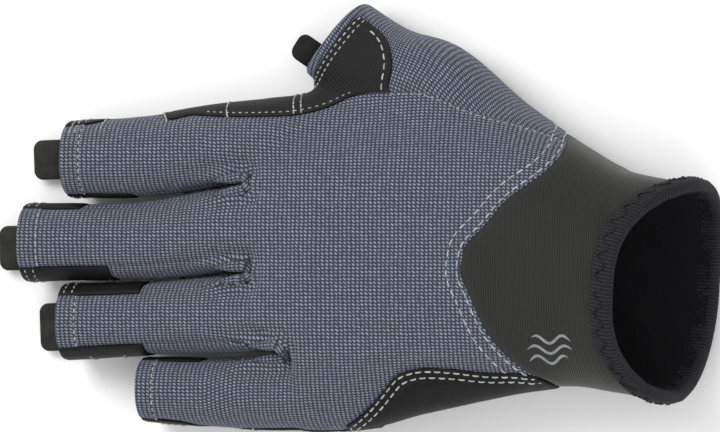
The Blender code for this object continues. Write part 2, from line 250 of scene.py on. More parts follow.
@dataclass
class GloveForm:
    """The outer form of the glove as a distance field."""

    hand: Tube = Tube(
        (
            (-54, -1.2, 13.7, 47.4, 12.2),
            (-40, -0.7, 15.0, 48.9, 13.5),
            (-26, 0.2, 16.2, 50.3, 14.8),
            (-14, 0.5, 16.7, 50.3, 15.2),
            (5, 2.3, 17.9, 47.6, 16.4),
            (24, 2.2, 18.9, 43.6, 17.4),
            (43, 0.4, 20.2, 38.4, 18.7),
            (58, -2.3, 21.2, 34.8, 20.0),
            (70, -5.4, 22.3, 33.6, 21.0),
            (84, -7.8, 23.3, 33.1, 21.7),
            (99, -8.7, 24.2, 32.7, 22.3),
        ),
        2.6,
        turns=False,
    )
    tubes: dict[Digit, Tube] = field(
        default_factory=lambda: {
            Digit.INDEX: Tube(
                (
                    (-108.7, 31.1, 11.3, 11.2, 10.4),
                    (-83, 32.1, 11.7, 12.1, 10.8),
                    (-54, 36.0, 13.2, 12.1, 12.2),
                    (-34, 37.4, 14.4, 12.0, 13.2),
                    (-12, 38.0, 13.0, 11.0, 9.0),
                ),
                2.4,
            ),
            Digit.MIDDLE: Tube(
                (
                    (-122.4, 6.0, 11.3, 11.5, 10.4),
                    (-108, 6.2, 11.4, 11.3, 10.5),
                    (-83, 6.8, 11.8, 11.8, 10.9),
                    (-54, 10.2, 13.6, 12.7, 12.6),
                    (-34, 11.6, 14.8, 12.6, 13.6),
                    (-12, 12.2, 13.0, 11.0, 9.0),
                ),
                2.4,
            ),
            Digit.RING: Tube(
                (
                    (-110, -17.9, 11.2, 11.2, 10.3),
                    (-83, -16.9, 11.6, 10.9, 10.7),
                    (-54, -15.3, 13.2, 11.9, 12.2),
                    (-34, -14.3, 14.5, 12.1, 13.3),
                    (-12, -13.6, 13.0, 11.0, 9.0),
                ),
                2.4,
            ),
            Digit.LITTLE: Tube(
                (
                    (-84.7, -38.2, 10.6, 9.4, 9.7),
                    (-67, -39.0, 11.0, 10.0, 10.1),
                    (-47, -39.2, 12.2, 10.9, 11.3),
                    (-30, -38.6, 13.4, 11.3, 12.2),
                    (-12, -38.2, 12.0, 10.4, 8.4),
                ),
                2.4,
            ),
            Digit.THUMB: Tube(
                (
                    (-23.4, 67.7, 12.5, 13.6, 11.5),
                    (-8.5, 58.0, 13.6, 14.4, 12.6),
                    (9.3, 50.5, 15.2, 15.8, 14.0),
                    (26.8, 37.0, 17.0, 15.4, 15.6),
                    (46.5, 22.0, 19.5, 16.0, 18.0),
                    (68.0, 5.5, 21.0, 15.0, 18.0),
                ),
                2.4,
            ),
        }
    )
    finger_root: float = -9.0
    web: float = 2.6

    def front(self, y: Array) -> Array:
        """Where the hand ends between the fingers, as x for each y."""
        return -45.5 + 12.5 * smoothstep(-y, 17, 27)

    def reaches(self, points: Array) -> dict[Digit, Array]:
        """The distance of each point to each tube.

        Args:
            points: rows of x, y and z.

        Returns:
            One distance for each point, for each tube.
        """
        x, y = points[:, 0], points[:, 1]
        found = {}
        body = self.hand.distance(points)
        found[Digit.HAND] = -melt(-body, x - self.front(y), 5.0)
        for digit, tube in self.tubes.items():
            stop = x - self.finger_root if digit is not Digit.THUMB else x - 66.0
            if digit is not Digit.THUMB:
                stop = np.maximum(stop, tube.sections[0][0] - 4 - x)
            found[digit] = np.maximum(tube.distance(points), stop)
        return found

    def distance(self, points: Array) -> Array:
        """The distance of each point to the whole glove's outer form, negative inside."""
        found = self.reaches(points)
        fingers = found[Digit.INDEX]
        for digit in FINGERS[1:]:
            fingers = melt(fingers, found[digit], 0.3)
        whole = melt(found[Digit.HAND], fingers, self.web)
        return melt(whole, found[Digit.THUMB], 8.0)


@dataclass
class Skin:
    """A surface of triangles that pattern lines are cut into."""

    points: Array
    faces: Array
    sides: dict[str, Array] = field(default_factory=dict)

    @classmethod
    def grown(cls, form: GloveForm, low: Array, high: Array, step: Array) -> Skin:
        """Grows the surface where a form's distance is 0.

        Args:
            form: the form to follow.
            low: the low corner of the space searched.
            high: the high corner.
            step: the grid's spacing on each axis.

        Returns:
            The surface, facing out.
        """
        axes = [np.arange(a, b + s, s) for a, b, s in zip(low, high, step)]
        shape = tuple(len(a) for a in axes)
        grid = np.stack(np.meshgrid(*axes, indexing="ij"), axis=-1)
        value = form.distance(grid.reshape(-1, 3)).reshape(shape)
        inside = value < 0
        cells = tuple(n - 1 for n in shape)
        total, number = np.zeros((*cells, 3)), np.zeros(cells)
        for axis in range(3):
            others = [k for k in range(3) if k != axis]
            for i in (0, 1):
                for j in (0, 1):
                    shift = [0, 0, 0]
                    shift[others[0]], shift[others[1]] = i, j
                    near = tuple(slice(shift[k], shift[k] + cells[k]) for k in range(3))
                    shift[axis] = 1
                    far = tuple(slice(shift[k], shift[k] + cells[k]) for k in range(3))
                    cross = inside[near] != inside[far]
                    share = value[near] / np.where(cross, value[near] - value[far], 1)
                    place = grid[near].copy()
                    place[..., axis] += share * step[axis]
                    total += np.where(cross[..., None], place, 0)
                    number += cross
        mixed = number > 0
        index = np.full(cells, -1)
        index[mixed] = np.arange(mixed.sum())
        points = total[mixed] / number[mixed][:, None]
        quads = []
        for axis in range(3):
            b, c = (axis + 1) % 3, (axis + 2) % 3
            near = [slice(1, n - 1) for n in shape]
            near[axis] = slice(0, shape[axis] - 1)
            far = list(near)
            far[axis] = slice(1, shape[axis])
            first, second = inside[tuple(near)], inside[tuple(far)]
            place = np.argwhere(first != second)
            outward = first[tuple(place.T)]
            place[:, b] += 1
            place[:, c] += 1
            corners = []
            for i, j in ((1, 1), (0, 1), (0, 0), (1, 0)):
                cell = place.copy()
                cell[:, b] -= i
                cell[:, c] -= j
                corners.append(index[tuple(cell.T)])
            quad = np.stack(corners, axis=1)
            quad[~outward] = quad[~outward][:, ::-1]
            quads.append(quad)
        quads = np.concatenate(quads)
        skin = cls(points, np.concatenate([quads[:, [0, 1, 2]], quads[:, [0, 2, 3]]]))
        for _ in range(3):
            skin.relax(0.5)
            skin.settle(form)
        return skin

    def edges(self) -> tuple[Array, Array]:
        """Each edge once.

        Returns:
            Pairs of points, and each face's three edges as places in that list.
        """
        ends = np.sort(self.faces[:, [[0, 1], [1, 2], [2, 0]]], axis=2).reshape(-1, 2)
        key = ends[:, 0] * len(self.points) + ends[:, 1]
        _, first, index = np.unique(key, return_index=True, return_inverse=True)
        return ends[first], index.reshape(-1, 3)

    def relax(self, share: float) -> None:
        """Moves each point towards the middle of its neighbours.

        Args:
            share: how much of the way it moves.
        """
        pairs, _ = self.edges()
        total = np.zeros_like(self.points)
        number = np.bincount(pairs.ravel(), minlength=len(self.points))[:, None]
        for k in range(3):
            total[:, k] += np.bincount(pairs[:, 0], self.points[pairs[:, 1], k], len(self.points))
            total[:, k] += np.bincount(pairs[:, 1], self.points[pairs[:, 0], k], len(self.points))
        self.points += share * (total / np.maximum(number, 1) - self.points)

    def settle(self, form: GloveForm) -> None:
        """Moves each point onto the form.

        Args:
            form: the form to follow.
        """
        value = form.distance(self.points)
        slope = np.stack(
            [(form.distance(self.points + 0.2 * np.eye(3)[k]) - value) / 0.2 for k in range(3)], axis=1
        )
        size = np.maximum((slope**2).sum(axis=1, keepdims=True), 0.2)
        self.points -= np.clip(value[:, None] * slope / size, -1, 1)

    def cut(self, name: str, values: Array) -> None:
        """Cuts a pattern line into the triangles, where the values cross 0.

        Args:
            name: the line's name.
            values: a number for each point.
        """
        values = values.copy()
        pairs, _ = self.edges()
        a, b = values[pairs[:, 0]], values[pairs[:, 1]]
        cross = a * b < 0
        share = a[cross] / (a[cross] - b[cross])
        ends = pairs[cross]
        close = np.minimum(share, 1 - share)
        chosen = np.where(share < 0.5, ends[:, 0], ends[:, 1])
        other = np.where(share < 0.5, ends[:, 1], ends[:, 0])
        order = np.argsort(-close)
        order = order[close[order] < 0.25]
        free = ~self.pinned()
        shift = np.zeros_like(self.points)
        moved = (self.points[other] - self.points[chosen]) * close[:, None]
        shift[chosen[order]] = moved[order]
        self.points = self.points + shift * free[:, None]
        values[chosen[order]] = 0
        a, b = values[pairs[:, 0]], values[pairs[:, 1]]
        cross = a * b < 0
        share = a[cross] / (a[cross] - b[cross])
        start, end = self.points[pairs[cross, 0]], self.points[pairs[cross, 1]]
        added = start + (end - start) * share[:, None]
        fresh = np.full(len(pairs), -1)
        fresh[cross] = len(self.points) + np.arange(cross.sum())
        _, index = self.edges()
        middle = fresh[index]
        count = (middle >= 0).sum(axis=1)
        parts = [self.faces[count == 0]]
        parents = [np.flatnonzero(count == 0)]
        for k in range(3):
            one = np.flatnonzero((count == 1) & (middle[:, k] >= 0))
            p, q, r = self.faces[one, k], self.faces[one, (k + 1) % 3], self.faces[one, (k + 2) % 3]
            m = middle[one, k]
            parts += [np.stack([p, m, r], 1), np.stack([m, q, r], 1)]
            parents += [one, one]
            two = np.flatnonzero((count == 2) & (middle[:, k] < 0))
            p, q, r = self.faces[two, k], self.faces[two, (k + 1) % 3], self.faces[two, (k + 2) % 3]
            m, n = middle[two, (k + 1) % 3], middle[two, (k + 2) % 3]
            parts += [np.stack([p, q, m], 1), np.stack([p, m, n], 1), np.stack([n, m, r], 1)]
            parents += [two, two, two]
        parents = np.concatenate(parents)
        self.points = np.concatenate([self.points, added])
        self.faces = np.concatenate(parts)
        self.sides = {key: kept[parents] for key, kept in self.sides.items()}
        values = np.concatenate([values, np.zeros(len(added))])
        corner = values[self.faces]
        strongest = np.take_along_axis(corner, np.abs(corner).argmax(axis=1)[:, None], 1)[:, 0]
        self.sides[name] = strongest > 0

    def pinned(self) -> Array:
        """The points that an earlier pattern line runs through."""
        held = np.zeros(len(self.points), bool)
        for side in self.sides.values():
            seen = np.bincount(self.faces[side].ravel(), minlength=len(self.points)) > 0
            unseen = np.bincount(self.faces[~side].ravel(), minlength=len(self.points)) > 0
            held |= seen & unseen
        return held

    def keep(self, chosen: Array) -> None:
        """Drops every face but the chosen ones, and the points that no face uses.

        Args:
            chosen: true for each face that stays.
        """
        self.faces = self.faces[chosen]
        self.sides = {key: kept[chosen] for key, kept in self.sides.items()}
        used, index = np.unique(self.faces, return_inverse=True)
        self.points, self.faces = self.points[used], index.reshape(-1, 3)

    def normals(self, points: Array | None = None, faces: Array | None = None) -> Array:
        """The direction out of the surface at each point.

        Args:
            points: other places for the points, if the surface has moved.
            faces: the faces that count, if not all of them.

        Returns:
            Unit vectors; 0 where no face counts.
        """
        points = self.points if points is None else points
        faces = self.faces if faces is None else faces
        corner = points[faces]
        flat = np.cross(corner[:, 1] - corner[:, 0], corner[:, 2] - corner[:, 0])
        total = np.zeros_like(points)
        for k in range(3):
            for axis in range(3):
                total[:, axis] += np.bincount(faces[:, k], flat[:, axis], len(points))
        return unit(total)

    def trace(self, values: Array, chosen: Array) -> list[Array]:
        """Follows the line where the values cross 0, over the chosen faces.

        Args:
            values: a number for each point.
            chosen: true for each face that the line may cross.

        Returns:
            The line's pieces, as rows of point pairs' shares: two points and the share between them.
        """
        values = np.where(np.abs(values) < 1e-6, 1e-6, values)
        pairs, index = self.edges()
        a, b = values[pairs[:, 0]], values[pairs[:, 1]]
        cross = (a * b < 0)[index] & chosen[:, None]
        rows = np.flatnonzero(cross.sum(axis=1) == 2)
        joined: dict[int, list[int]] = {}
        for row in rows:
            first, second = index[row][cross[row]]
            joined.setdefault(int(first), []).append(int(second))
            joined.setdefault(int(second), []).append(int(first))
        lines, seen = [], set()
        for start in sorted(joined, key=lambda edge: len(joined[edge])):
            if start in seen:
                continue
            chain, at = [start], start
            seen.add(start)
            while True:
                ahead = [edge for edge in joined[at] if edge not in seen]
                if not ahead:
                    break
                at = ahead[0]
                seen.add(at)
                chain.append(at)
            if len(joined[start]) == 2 and len(chain) > 4 and start in joined[at]:
                chain.append(start)
            chain = np.array(chain)
            share = a[chain] / (a[chain] - b[chain])
            lines.append(np.column_stack([pairs[chain], share]))
        return lines

    @staticmethod
    def read(line: Array, values: Array) -> Array:
        """Reads values along a traced line.

        Args:
            line: a line from trace.
            values: a number or row for each point of the surface.

        Returns:
            The value at each place of the line.
        """
        first, second = values[line[:, 0].astype(int)], values[line[:, 1].astype(int)]
        share = line[:, 2].reshape(-1, *([1] * (first.ndim - 1)))
        return first + (second - first) * share


def nearness(points: Array, line: Array, most: float = 12.0) -> Array:
    """How far each point is from the nearest of a line's points.

    Args:
        points: rows of x, y and z.
        line: the line's points.
        most: the distance given to anything farther.

    Returns:
        One distance for each point.
    """
    found = np.full(len(points), most)
    if not len(line):
        return found
    low, high = line.min(axis=0) - most, line.max(axis=0) + most
    near = np.flatnonzero(((points > low) & (points < high)).all(axis=1))
    tree = KDTree(len(line))
    for k, place in enumerate(line):
        tree.insert(place, k)
    tree.balance()
    for k in near:
        found[k] = min(tree.find(points[k])[2], most)
    return found


class Patch(Enum):
    """The kinds of cloth the glove is cut from."""

    WOVEN = "woven"
    SIDE = "side"
    THUMB = "thumb"
    LEATHER = "leather"
    NEOPRENE = "neoprene"


@dataclass
class Pattern:
    """Where the maker's pattern lines run on the form. Every field is positive inside its own patch."""

    form: GloveForm
    hem_places: dict[Digit, float] = field(
        default_factory=lambda: {
            Digit.INDEX: -109.2,
            Digit.MIDDLE: -123.0,
            Digit.RING: -110.6,
            Digit.LITTLE: -85.4,
        }
    )
    thumb_hem: float = 59.9
    back_turns: dict[Digit, tuple[float, float]] = field(
        default_factory=lambda: {
            Digit.INDEX: (-8, 160),
            Digit.MIDDLE: (28, 128),
            Digit.RING: (48, 132),
            Digit.LITTLE: (20, 158),
        }
    )
    palm_turns: dict[Digit, tuple[float, float]] = field(
        default_factory=lambda: {
            Digit.INDEX: (203, 352),
            Digit.MIDDLE: (205, 335),
            Digit.RING: (205, 335),
            Digit.LITTLE: (172, 335),
        }
    )
    wrap_ends: dict[Digit, tuple[float, float]] = field(
        default_factory=lambda: {
            Digit.INDEX: (-200, -88),
            Digit.MIDDLE: (-104, -94),
            Digit.RING: (-84, -83),
            Digit.LITTLE: (-66, -200),
        }
    )
    thumb_side: tuple[tuple[float, float], ...] = (
        (-125, 40.8),
        (-109, 41.0),
        (-102, 41.9),
        (-98.5, 42.6),
        (-95.5, 43.8),
        (-93, 47.5),
        (-91, 60.0),
        (-84, 60.0),
        (-81, 48.5),
        (-78.5, 45.4),
        (-66, 44.6),
        (-54, 44.0),
        (-42, 44.0),
        (-30, 44.7),
        (-20.4, 47.3),
        (-15.6, 49.4),
        (0.3, 51.2),
        (13, 50.3),
        (21, 47.3),
        (32.1, 43.7),
        (41.7, 41.3),
        (50.6, 38.3),
        (56.6, 36.0),
        (64, 33.5),
    )
    heel_turns: tuple[tuple[float, float], ...] = (
        (-52, 188),
        (-40, 180),
        (-19, 172),
        (-12, 157.4),
        (-6.5, 147.6),
        (-2, 139.8),
        (1.8, 133.8),
        (6, 132),
        (19.3, 135),
        (33.5, 143.6),
        (42.1, 147.6),
        (52, 158),
        (60, 164),
    )
    yoke_front: tuple[tuple[float, float], ...] = (
        (-30, 46),
        (0, 53.7),
        (30, 55.4),
        (56, 49.1),
        (74, 37.5),
        (83, 31.3),
        (89, 25.7),
        (92, 24.6),
        (101, 27.6),
        (116, 32.4),
        (128.5, 37.2),
        (141, 42.1),
        (165.5, 50.4),
        (180, 50),
        (210, 46),
        (330, 46),
        (360, 53.7),
    )
    thumb_patch: tuple[tuple[float, float], ...] = (
        (44, 0.4),
        (51.8, -1.4),
        (60.5, -0.6),
        (67.4, -3.8),
        (73.4, -12.0),
        (80, -24.0),
    )

    little_tail: tuple[tuple[float, float], ...] = (
        (-90, 158),
        (-76, 158),
        (-71, 162),
        (-66, 184),
        (-58, 188),
        (-50, 176),
        (-42, 171),
        (-20, 171),
    )
    pad_boxes: tuple[tuple[float, float, float, float, float], ...] = (
        (16, -2, 31, 33, 14),
        (-24.5, 1, 7, 41, 6.5),
        (-82, 32, 15, 8, 5),
        (-90, 6.4, 18, 8, 5),
        (-82, -17.2, 15, 7.5, 5),
        (-64, -38.8, 11, 6.5, 4.5),
    )

    def owner(self, points: Array) -> Array:
        """The tube that each point is nearest to, as its place in the list of digits."""
        found = self.form.reaches(points)
        values = np.stack([found[digit] for digit in Digit])
        values[0] -= 0.5
        return values.argmin(axis=0)

    def own(self, points: Array, digit: Digit) -> Array:
        """True for each point that is nearest to one digit's tube."""
        return self.owner(points) == list(Digit).index(digit)

    def hems(self, points: Array) -> Array:
        """How far each point is inside the nearest opening's edge."""
        owner = self.owner(points)
        found = np.full(len(points), 60.0)
        for digit, edge in self.hem_places.items():
            mine = owner == list(Digit).index(digit)
            found[mine] = points[mine, 0] - edge
        mine = owner == list(Digit).index(Digit.THUMB)
        found[mine] = self.thumb_hem + 0.78 * points[mine, 0] - 0.625 * points[mine, 1]
        turn = self.form.hand.turn(points)
        return np.minimum(found, cuff_end(turn) - points[:, 0])

    def strip(self, points: Array, digit: Digit, low: float, high: float) -> Array:
        """How far each point is inside a range of turns round one digit.

        Args:
            points: rows of x, y and z.
            digit: the digit whose tube is meant.
            low: the range's first turn.
            high: its last turn.

        Returns:
            About the distance to the nearer end of the range, negative outside it.
        """
        tube = self.form.tubes[digit]
        middle, half = (low + high) / 2, (high - low) / 2
        off = np.abs((tube.turn(points) - middle + 180) % 360 - 180)
        return (half - off) * math.radians(1) * 12.0

    def back(self, points: Array) -> Array:
        """The woven back of the fingers and hand."""
        x, y = points[:, 0], points[:, 1]
        turn = self.form.hand.turn(points)
        plan = along(self.thumb_side, x) - y
        heel = (along(self.heel_turns, x) - (turn + 90) % 360 + 90) * 0.55
        upper = points[:, 2] - self.form.hand.at(x)[1] + 5 * smoothstep(x, -34, -16)
        found = np.minimum.reduce([plan, heel, x - self.form.front(y) + 1.5, upper])
        for digit, (low, high) in self.back_turns.items():
            piece = self.strip(points, digit, low, high)
            if digit is Digit.INDEX:
                piece = np.minimum(piece, plan)
            if digit is Digit.LITTLE:
                off = (self.form.tubes[digit].turn(points) + 90) % 360 - 90
                piece = np.minimum((along(self.little_tail, x) - off) * 0.2, (off - low) * 0.2)
            piece = np.minimum(piece, np.where(x > -18, -18 - x, 40.0))
            reach = np.where(self.own(points, digit) | (x > -48), 40.0, -40.0)
            found = np.maximum(found, np.minimum(piece, reach))
        return found

    def walls(self, points: Array) -> Array:
        """The narrow strips between the fingers."""
        x = points[:, 0]
        order = list(Digit)
        owner = self.owner(points)
        found = np.full(len(points), -20.0)
        for digit in FINGERS:
            mine = owner == order.index(digit)
            low, high = self.back_turns[digit]
            first, last = self.palm_turns[digit]
            upper_end, lower_end = self.wrap_ends[digit]
            lower = np.minimum(self.strip(points, digit, high - 14, first), (x - lower_end) * 0.9)
            upper = np.minimum(self.strip(points, digit, last - 360, low + 14), x - upper_end)
            if digit is Digit.INDEX:
                upper = np.full(len(points), -20.0)
            if digit is Digit.LITTLE:
                lower = np.full(len(points), -20.0)
            found[mine] = np.maximum(lower, upper)[mine]
        hand = owner == 0
        found[hand] = np.maximum.reduce(
            [self.strip(points, a, self.back_turns[a][1] - 14, self.palm_turns[a][0]) for a in FINGERS[:3]]
        )[hand]
        front = self.form.front(points[:, 1]) + 0.8 - x
        return np.minimum(found, front)

    def yoke(self, points: Array) -> Array:
        """The neoprene behind the V."""
        turn = (self.form.hand.turn(points) + 15) % 360 - 15
        return (points[:, 0] - along(self.yoke_front, turn)) * 0.75

    def pads(self, points: Array) -> Array:
        """The reinforcements sewn to the palm and under the fingers."""
        x, y = points[:, 0], points[:, 1]
        found = np.full(len(points), -20.0)
        for middle_x, middle_y, half_x, half_y, corner in self.pad_boxes:
            dx = np.abs(x - middle_x) - half_x + corner
            dy = np.abs(y - middle_y) - half_y + corner
            corner_gap = np.hypot(np.maximum(dx, 0), np.maximum(dy, 0))
            outside = corner_gap + np.minimum(np.maximum(dx, dy), 0) - corner
            found = np.maximum(found, -outside)
        return np.minimum(found, self.form.hand.at(x)[1] - 6 - points[:, 2])

    def thumb(self, points: Array) -> Array:
        """Everything on the thumb's side of the seam at its root."""
        return points[:, 1] - along(self.thumb_side, np.maximum(points[:, 0], 0.3))

    def thumb_back(self, points: Array) -> Array:
        """The woven back of the thumb and the band at its opening."""
        x, y = points[:, 0], points[:, 1]
        patch = x - along(self.thumb_patch, y)
        patch = patch / np.hypot(1, np.gradient(along(self.thumb_patch, np.linspace(44, 80, 200))).max())
        outer = self.strip(points, Digit.THUMB, -27, 190)
        from_hem = self.thumb_hem + 0.78 * x - 0.625 * y
        band = np.minimum(3.4 - from_hem, self.strip(points, Digit.THUMB, -27, 196))
        return np.minimum(self.thumb(points), np.maximum(np.minimum(patch, outer), band))


def cuff_end(turn: Array) -> Array:
    """Where the cuff's tube ends, for each turn round it."""
    c, s = np.cos(np.radians(turn)), np.sin(np.radians(turn))
    return 91.8 + 4.6 * c - 17.4 * np.maximum(0, s) ** 1.5 + 2.2 * np.maximum(0, -s)


class Graph:
    """A short way to write shader nodes."""

    def __init__(self, tree: bpy.types.NodeTree) -> None:
        """Starts with an empty tree."""
        self.tree = tree
        tree.nodes.clear()

    def node(self, kind: str, **values: object) -> bpy.types.Node:
        """Adds a node.

        Args:
            kind: the node's type, without ShaderNode.
            **values: its properties; a name starting with in_ and a number sets or links that input.

        Returns:
            The node.
        """
        node = self.tree.nodes.new("ShaderNode" + kind if not kind.startswith("Node") else kind)
        for key, value in values.items():
            if not key.startswith("in_"):
                setattr(node, key, value)
        for key, value in values.items():
            if key.startswith("in_"):
                self.feed(node.inputs[int(key[3:])], value)
        return node

    def feed(self, socket: bpy.types.NodeSocket, value: object) -> None:
        """Links a socket to another, or sets it to a number or a row of numbers."""
        if isinstance(value, bpy.types.NodeSocket):
            self.tree.links.new(value, socket)
        else:
            socket.default_value = value

    def math(self, operation: str, *values: object) -> bpy.types.NodeSocket:
        """Adds a Math node and returns its value."""
        node = self.node("Math", operation=operation)
        for socket, value in zip(node.inputs, values):
            self.feed(socket, value)
        return node.outputs[0]

    def mix(self, share: object, a: object, b: object) -> bpy.types.NodeSocket:
        """Mixes two colours and returns the colour."""
        node = self.node("Mix", data_type="RGBA")
        self.feed(node.inputs[0], share)
        self.feed(node.inputs[6], a)
        self.feed(node.inputs[7], b)
        return node.outputs[2]

    def ramp(self, value: object, start: float, end: float) -> bpy.types.NodeSocket:
        """A smooth ramp from 0 at start to 1 at end."""
        node = self.node("MapRange", interpolation_type="SMOOTHSTEP")
        for socket, number in zip(node.inputs, (value, start, end, 0.0, 1.0)):
            self.feed(socket, number)
        return node.outputs[0]


def colour(red: int, green: int, blue: int) -> tuple[float, float, float, float]:
    """Turns a display colour from 0 to 255 into the renderer's linear one."""
    parts = [c / 255 for c in (red, green, blue)]
    return (*[c / 12.92 if c <= 0.04045 else ((c + 0.055) / 1.055) ** 2.4 for c in parts], 1.0)


@dataclass(frozen=True)
class Effect:
    """A shader node group that several finishes share."""

    name: str
    inputs: tuple[tuple[str, str], ...]
    outputs: tuple[tuple[str, str], ...]
    wire: Callable[[Graph, bpy.types.Node, bpy.types.Node], None]

    def tree(self) -> bpy.types.NodeTree:
        """The group, made once."""
        if self.name in bpy.data.node_groups:
            return bpy.data.node_groups[self.name]
        tree = bpy.data.node_groups.new(self.name, "ShaderNodeTree")
        graph = Graph(tree)
        for label, kind in self.inputs:
            tree.interface.new_socket(label, in_out="INPUT", socket_type=kind)
        for label, kind in self.outputs:
            tree.interface.new_socket(label, in_out="OUTPUT", socket_type=kind)
        self.wire(graph, graph.node("NodeGroupInput"), graph.node("NodeGroupOutput"))
        return tree


FLOAT, COLOR, VECTOR = "NodeSocketFloat", "NodeSocketColor", "NodeSocketVector"


def wire_weave(graph: Graph, given: bpy.types.Node, put: bpy.types.Node) -> None:
    """A knit of slanting ovals in rows and columns, in the cloth's own millimetres. Each oval's top is
    painted lighter as a highlight, and the gaps between the ovals are painted darker as shade, over the
    yarn's own random tone.
    """
    split = graph.node("SeparateXYZ", in_0=given.outputs["Cloth"])
    noise = graph.node("TexNoise", in_0=given.outputs["Cloth"], in_2=0.35, in_3=3.0)
    drift = graph.math("MULTIPLY", graph.math("SUBTRACT", noise.outputs[0], 0.5), 0.5)
    across = graph.math("ADD", graph.math("DIVIDE", split.outputs[0], given.outputs["Pitch across"]), drift)
    up = graph.math("SUBTRACT", graph.math("DIVIDE", split.outputs[1], given.outputs["Pitch up"]), drift)
    a = graph.math("SUBTRACT", graph.math("FRACT", across), 0.5)
    b = graph.math("SUBTRACT", graph.math("FRACT", up), 0.5)
    cell = graph.node("CombineXYZ", in_0=graph.math("FLOOR", across), in_1=graph.math("FLOOR", up))
    chance = graph.node("TexWhiteNoise", in_0=cell.outputs[0]).outputs[0]
    slant = graph.math("ADD", b, graph.math("MULTIPLY", a, 0.42))
    wide = graph.math("POWER", graph.math("DIVIDE", a, 0.40), 2.0)
    tall = graph.math("POWER", graph.math("DIVIDE", slant, 0.34), 2.0)
    oval = graph.math("ADD", wide, tall)
    dome = graph.math("SQRT", graph.math("MAXIMUM", graph.math("SUBTRACT", 1.25, oval), 0.0))
    # painted highlight: the colour brightens towards each oval's top, where the bump's dome is highest
    top_highlight = graph.ramp(oval, 1.25, 0.15)
    fibre = graph.node("TexNoise", in_0=given.outputs["Cloth"], in_2=5.0, in_3=2.0).outputs[0]
    light = graph.math("ADD", 0.55, graph.math("MULTIPLY", chance, 0.45))
    # painted shade in the gaps between the columns of ovals
    gap = graph.ramp(graph.math("ABSOLUTE", a), 0.44, 0.5)
    base = graph.mix(gap, given.outputs["Mid"], given.outputs["Dark"])
    fuzz = graph.math("ADD", 0.7, graph.math("MULTIPLY", fibre, 0.6))
    lit = graph.math("MULTIPLY", graph.math("MULTIPLY", top_highlight, light), fuzz)
    thread = graph.mix(graph.math("MINIMUM", lit, 1.0), base, given.outputs["Light"])
    # painted shade round the edge of each oval, where the knit dips
    low = graph.ramp(oval, 1.0, 1.7)
    final = graph.mix(graph.math("MULTIPLY", low, 0.75), thread, given.outputs["Dark"])
    graph.feed(put.inputs["Color"], final)
    graph.feed(put.inputs["Height"], graph.math("ADD", dome, graph.math("MULTIPLY", fibre, 0.25)))


WEAVE = Effect(
    "weave",
    (
        ("Cloth", VECTOR),
        ("Pitch across", FLOAT),
        ("Pitch up", FLOAT),
        ("Dark", COLOR),
        ("Mid", COLOR),
        ("Light", COLOR),
    ),
    (("Color", COLOR), ("Height", FLOAT)),
    wire_weave,
)


def wire_grain(graph: Graph, given: bpy.types.Node, put: bpy.types.Node) -> None:
    """A soft pebbled grain with faint wear."""
    place, scale = given.outputs["Place"], given.outputs["Scale"]
    cells = graph.node("TexVoronoi", feature="SMOOTH_F1", in_0=place, in_2=scale)
    broad = graph.node("TexNoise", in_0=place, in_2=graph.math("MULTIPLY", scale, 0.11), in_3=4.0)
    fine = graph.node("TexNoise", in_0=place, in_2=graph.math("MULTIPLY", scale, 2.2), in_3=2.0)
    pebbles = graph.math("ADD", cells.outputs[0], graph.math("MULTIPLY", fine.outputs[0], 0.5))
    graph.feed(put.inputs["Height"], pebbles)
    graph.feed(put.inputs["Wear"], graph.ramp(broad.outputs[0], 0.35, 0.7))


GRAIN = Effect(
    "grain",
    (("Place", VECTOR), ("Scale", FLOAT)),
    (("Height", FLOAT), ("Wear", FLOAT)),
    wire_grain,
)


def wire_ribs(graph: Graph, given: bpy.types.Node, put: bpy.types.Node) -> None:
    """Fine ribs along one direction of the cloth, broken by a little noise. The colour follows the rib's
    height, so each crest is painted lighter and each trough painted darker as shade.
    """
    split = graph.node("SeparateXYZ", in_0=given.outputs["Cloth"])
    noise = graph.node("TexNoise", in_0=given.outputs["Cloth"], in_2=1.2, in_3=2.0).outputs[0]
    turned = graph.math(
        "ADD",
        graph.math("MULTIPLY", split.outputs[0], graph.math("COSINE", given.outputs["Turn"])),
        graph.math("MULTIPLY", split.outputs[1], graph.math("SINE", given.outputs["Turn"])),
    )
    steady = graph.math("DIVIDE", turned, given.outputs["Pitch"])
    place = graph.math("ADD", steady, graph.math("MULTIPLY", noise, 0.35))
    wave = graph.math("SINE", graph.math("MULTIPLY", place, math.tau))
    rib = graph.math("ADD", graph.math("MULTIPLY", wave, 0.5), 0.5)
    graph.feed(put.inputs["Height"], rib)
    uneven = graph.math("ADD", 0.6, graph.math("MULTIPLY", noise, 0.8))
    # painted shade: the colour share rises on the crests and falls in the troughs, with a little random tone
    # from the noise
    graph.feed(put.inputs["Rib"], graph.math("MULTIPLY", rib, uneven))


RIBS = Effect(
    "ribs",
    (("Cloth", VECTOR), ("Pitch", FLOAT), ("Turn", FLOAT)),
    (("Height", FLOAT), ("Rib", FLOAT)),
    wire_ribs,
)


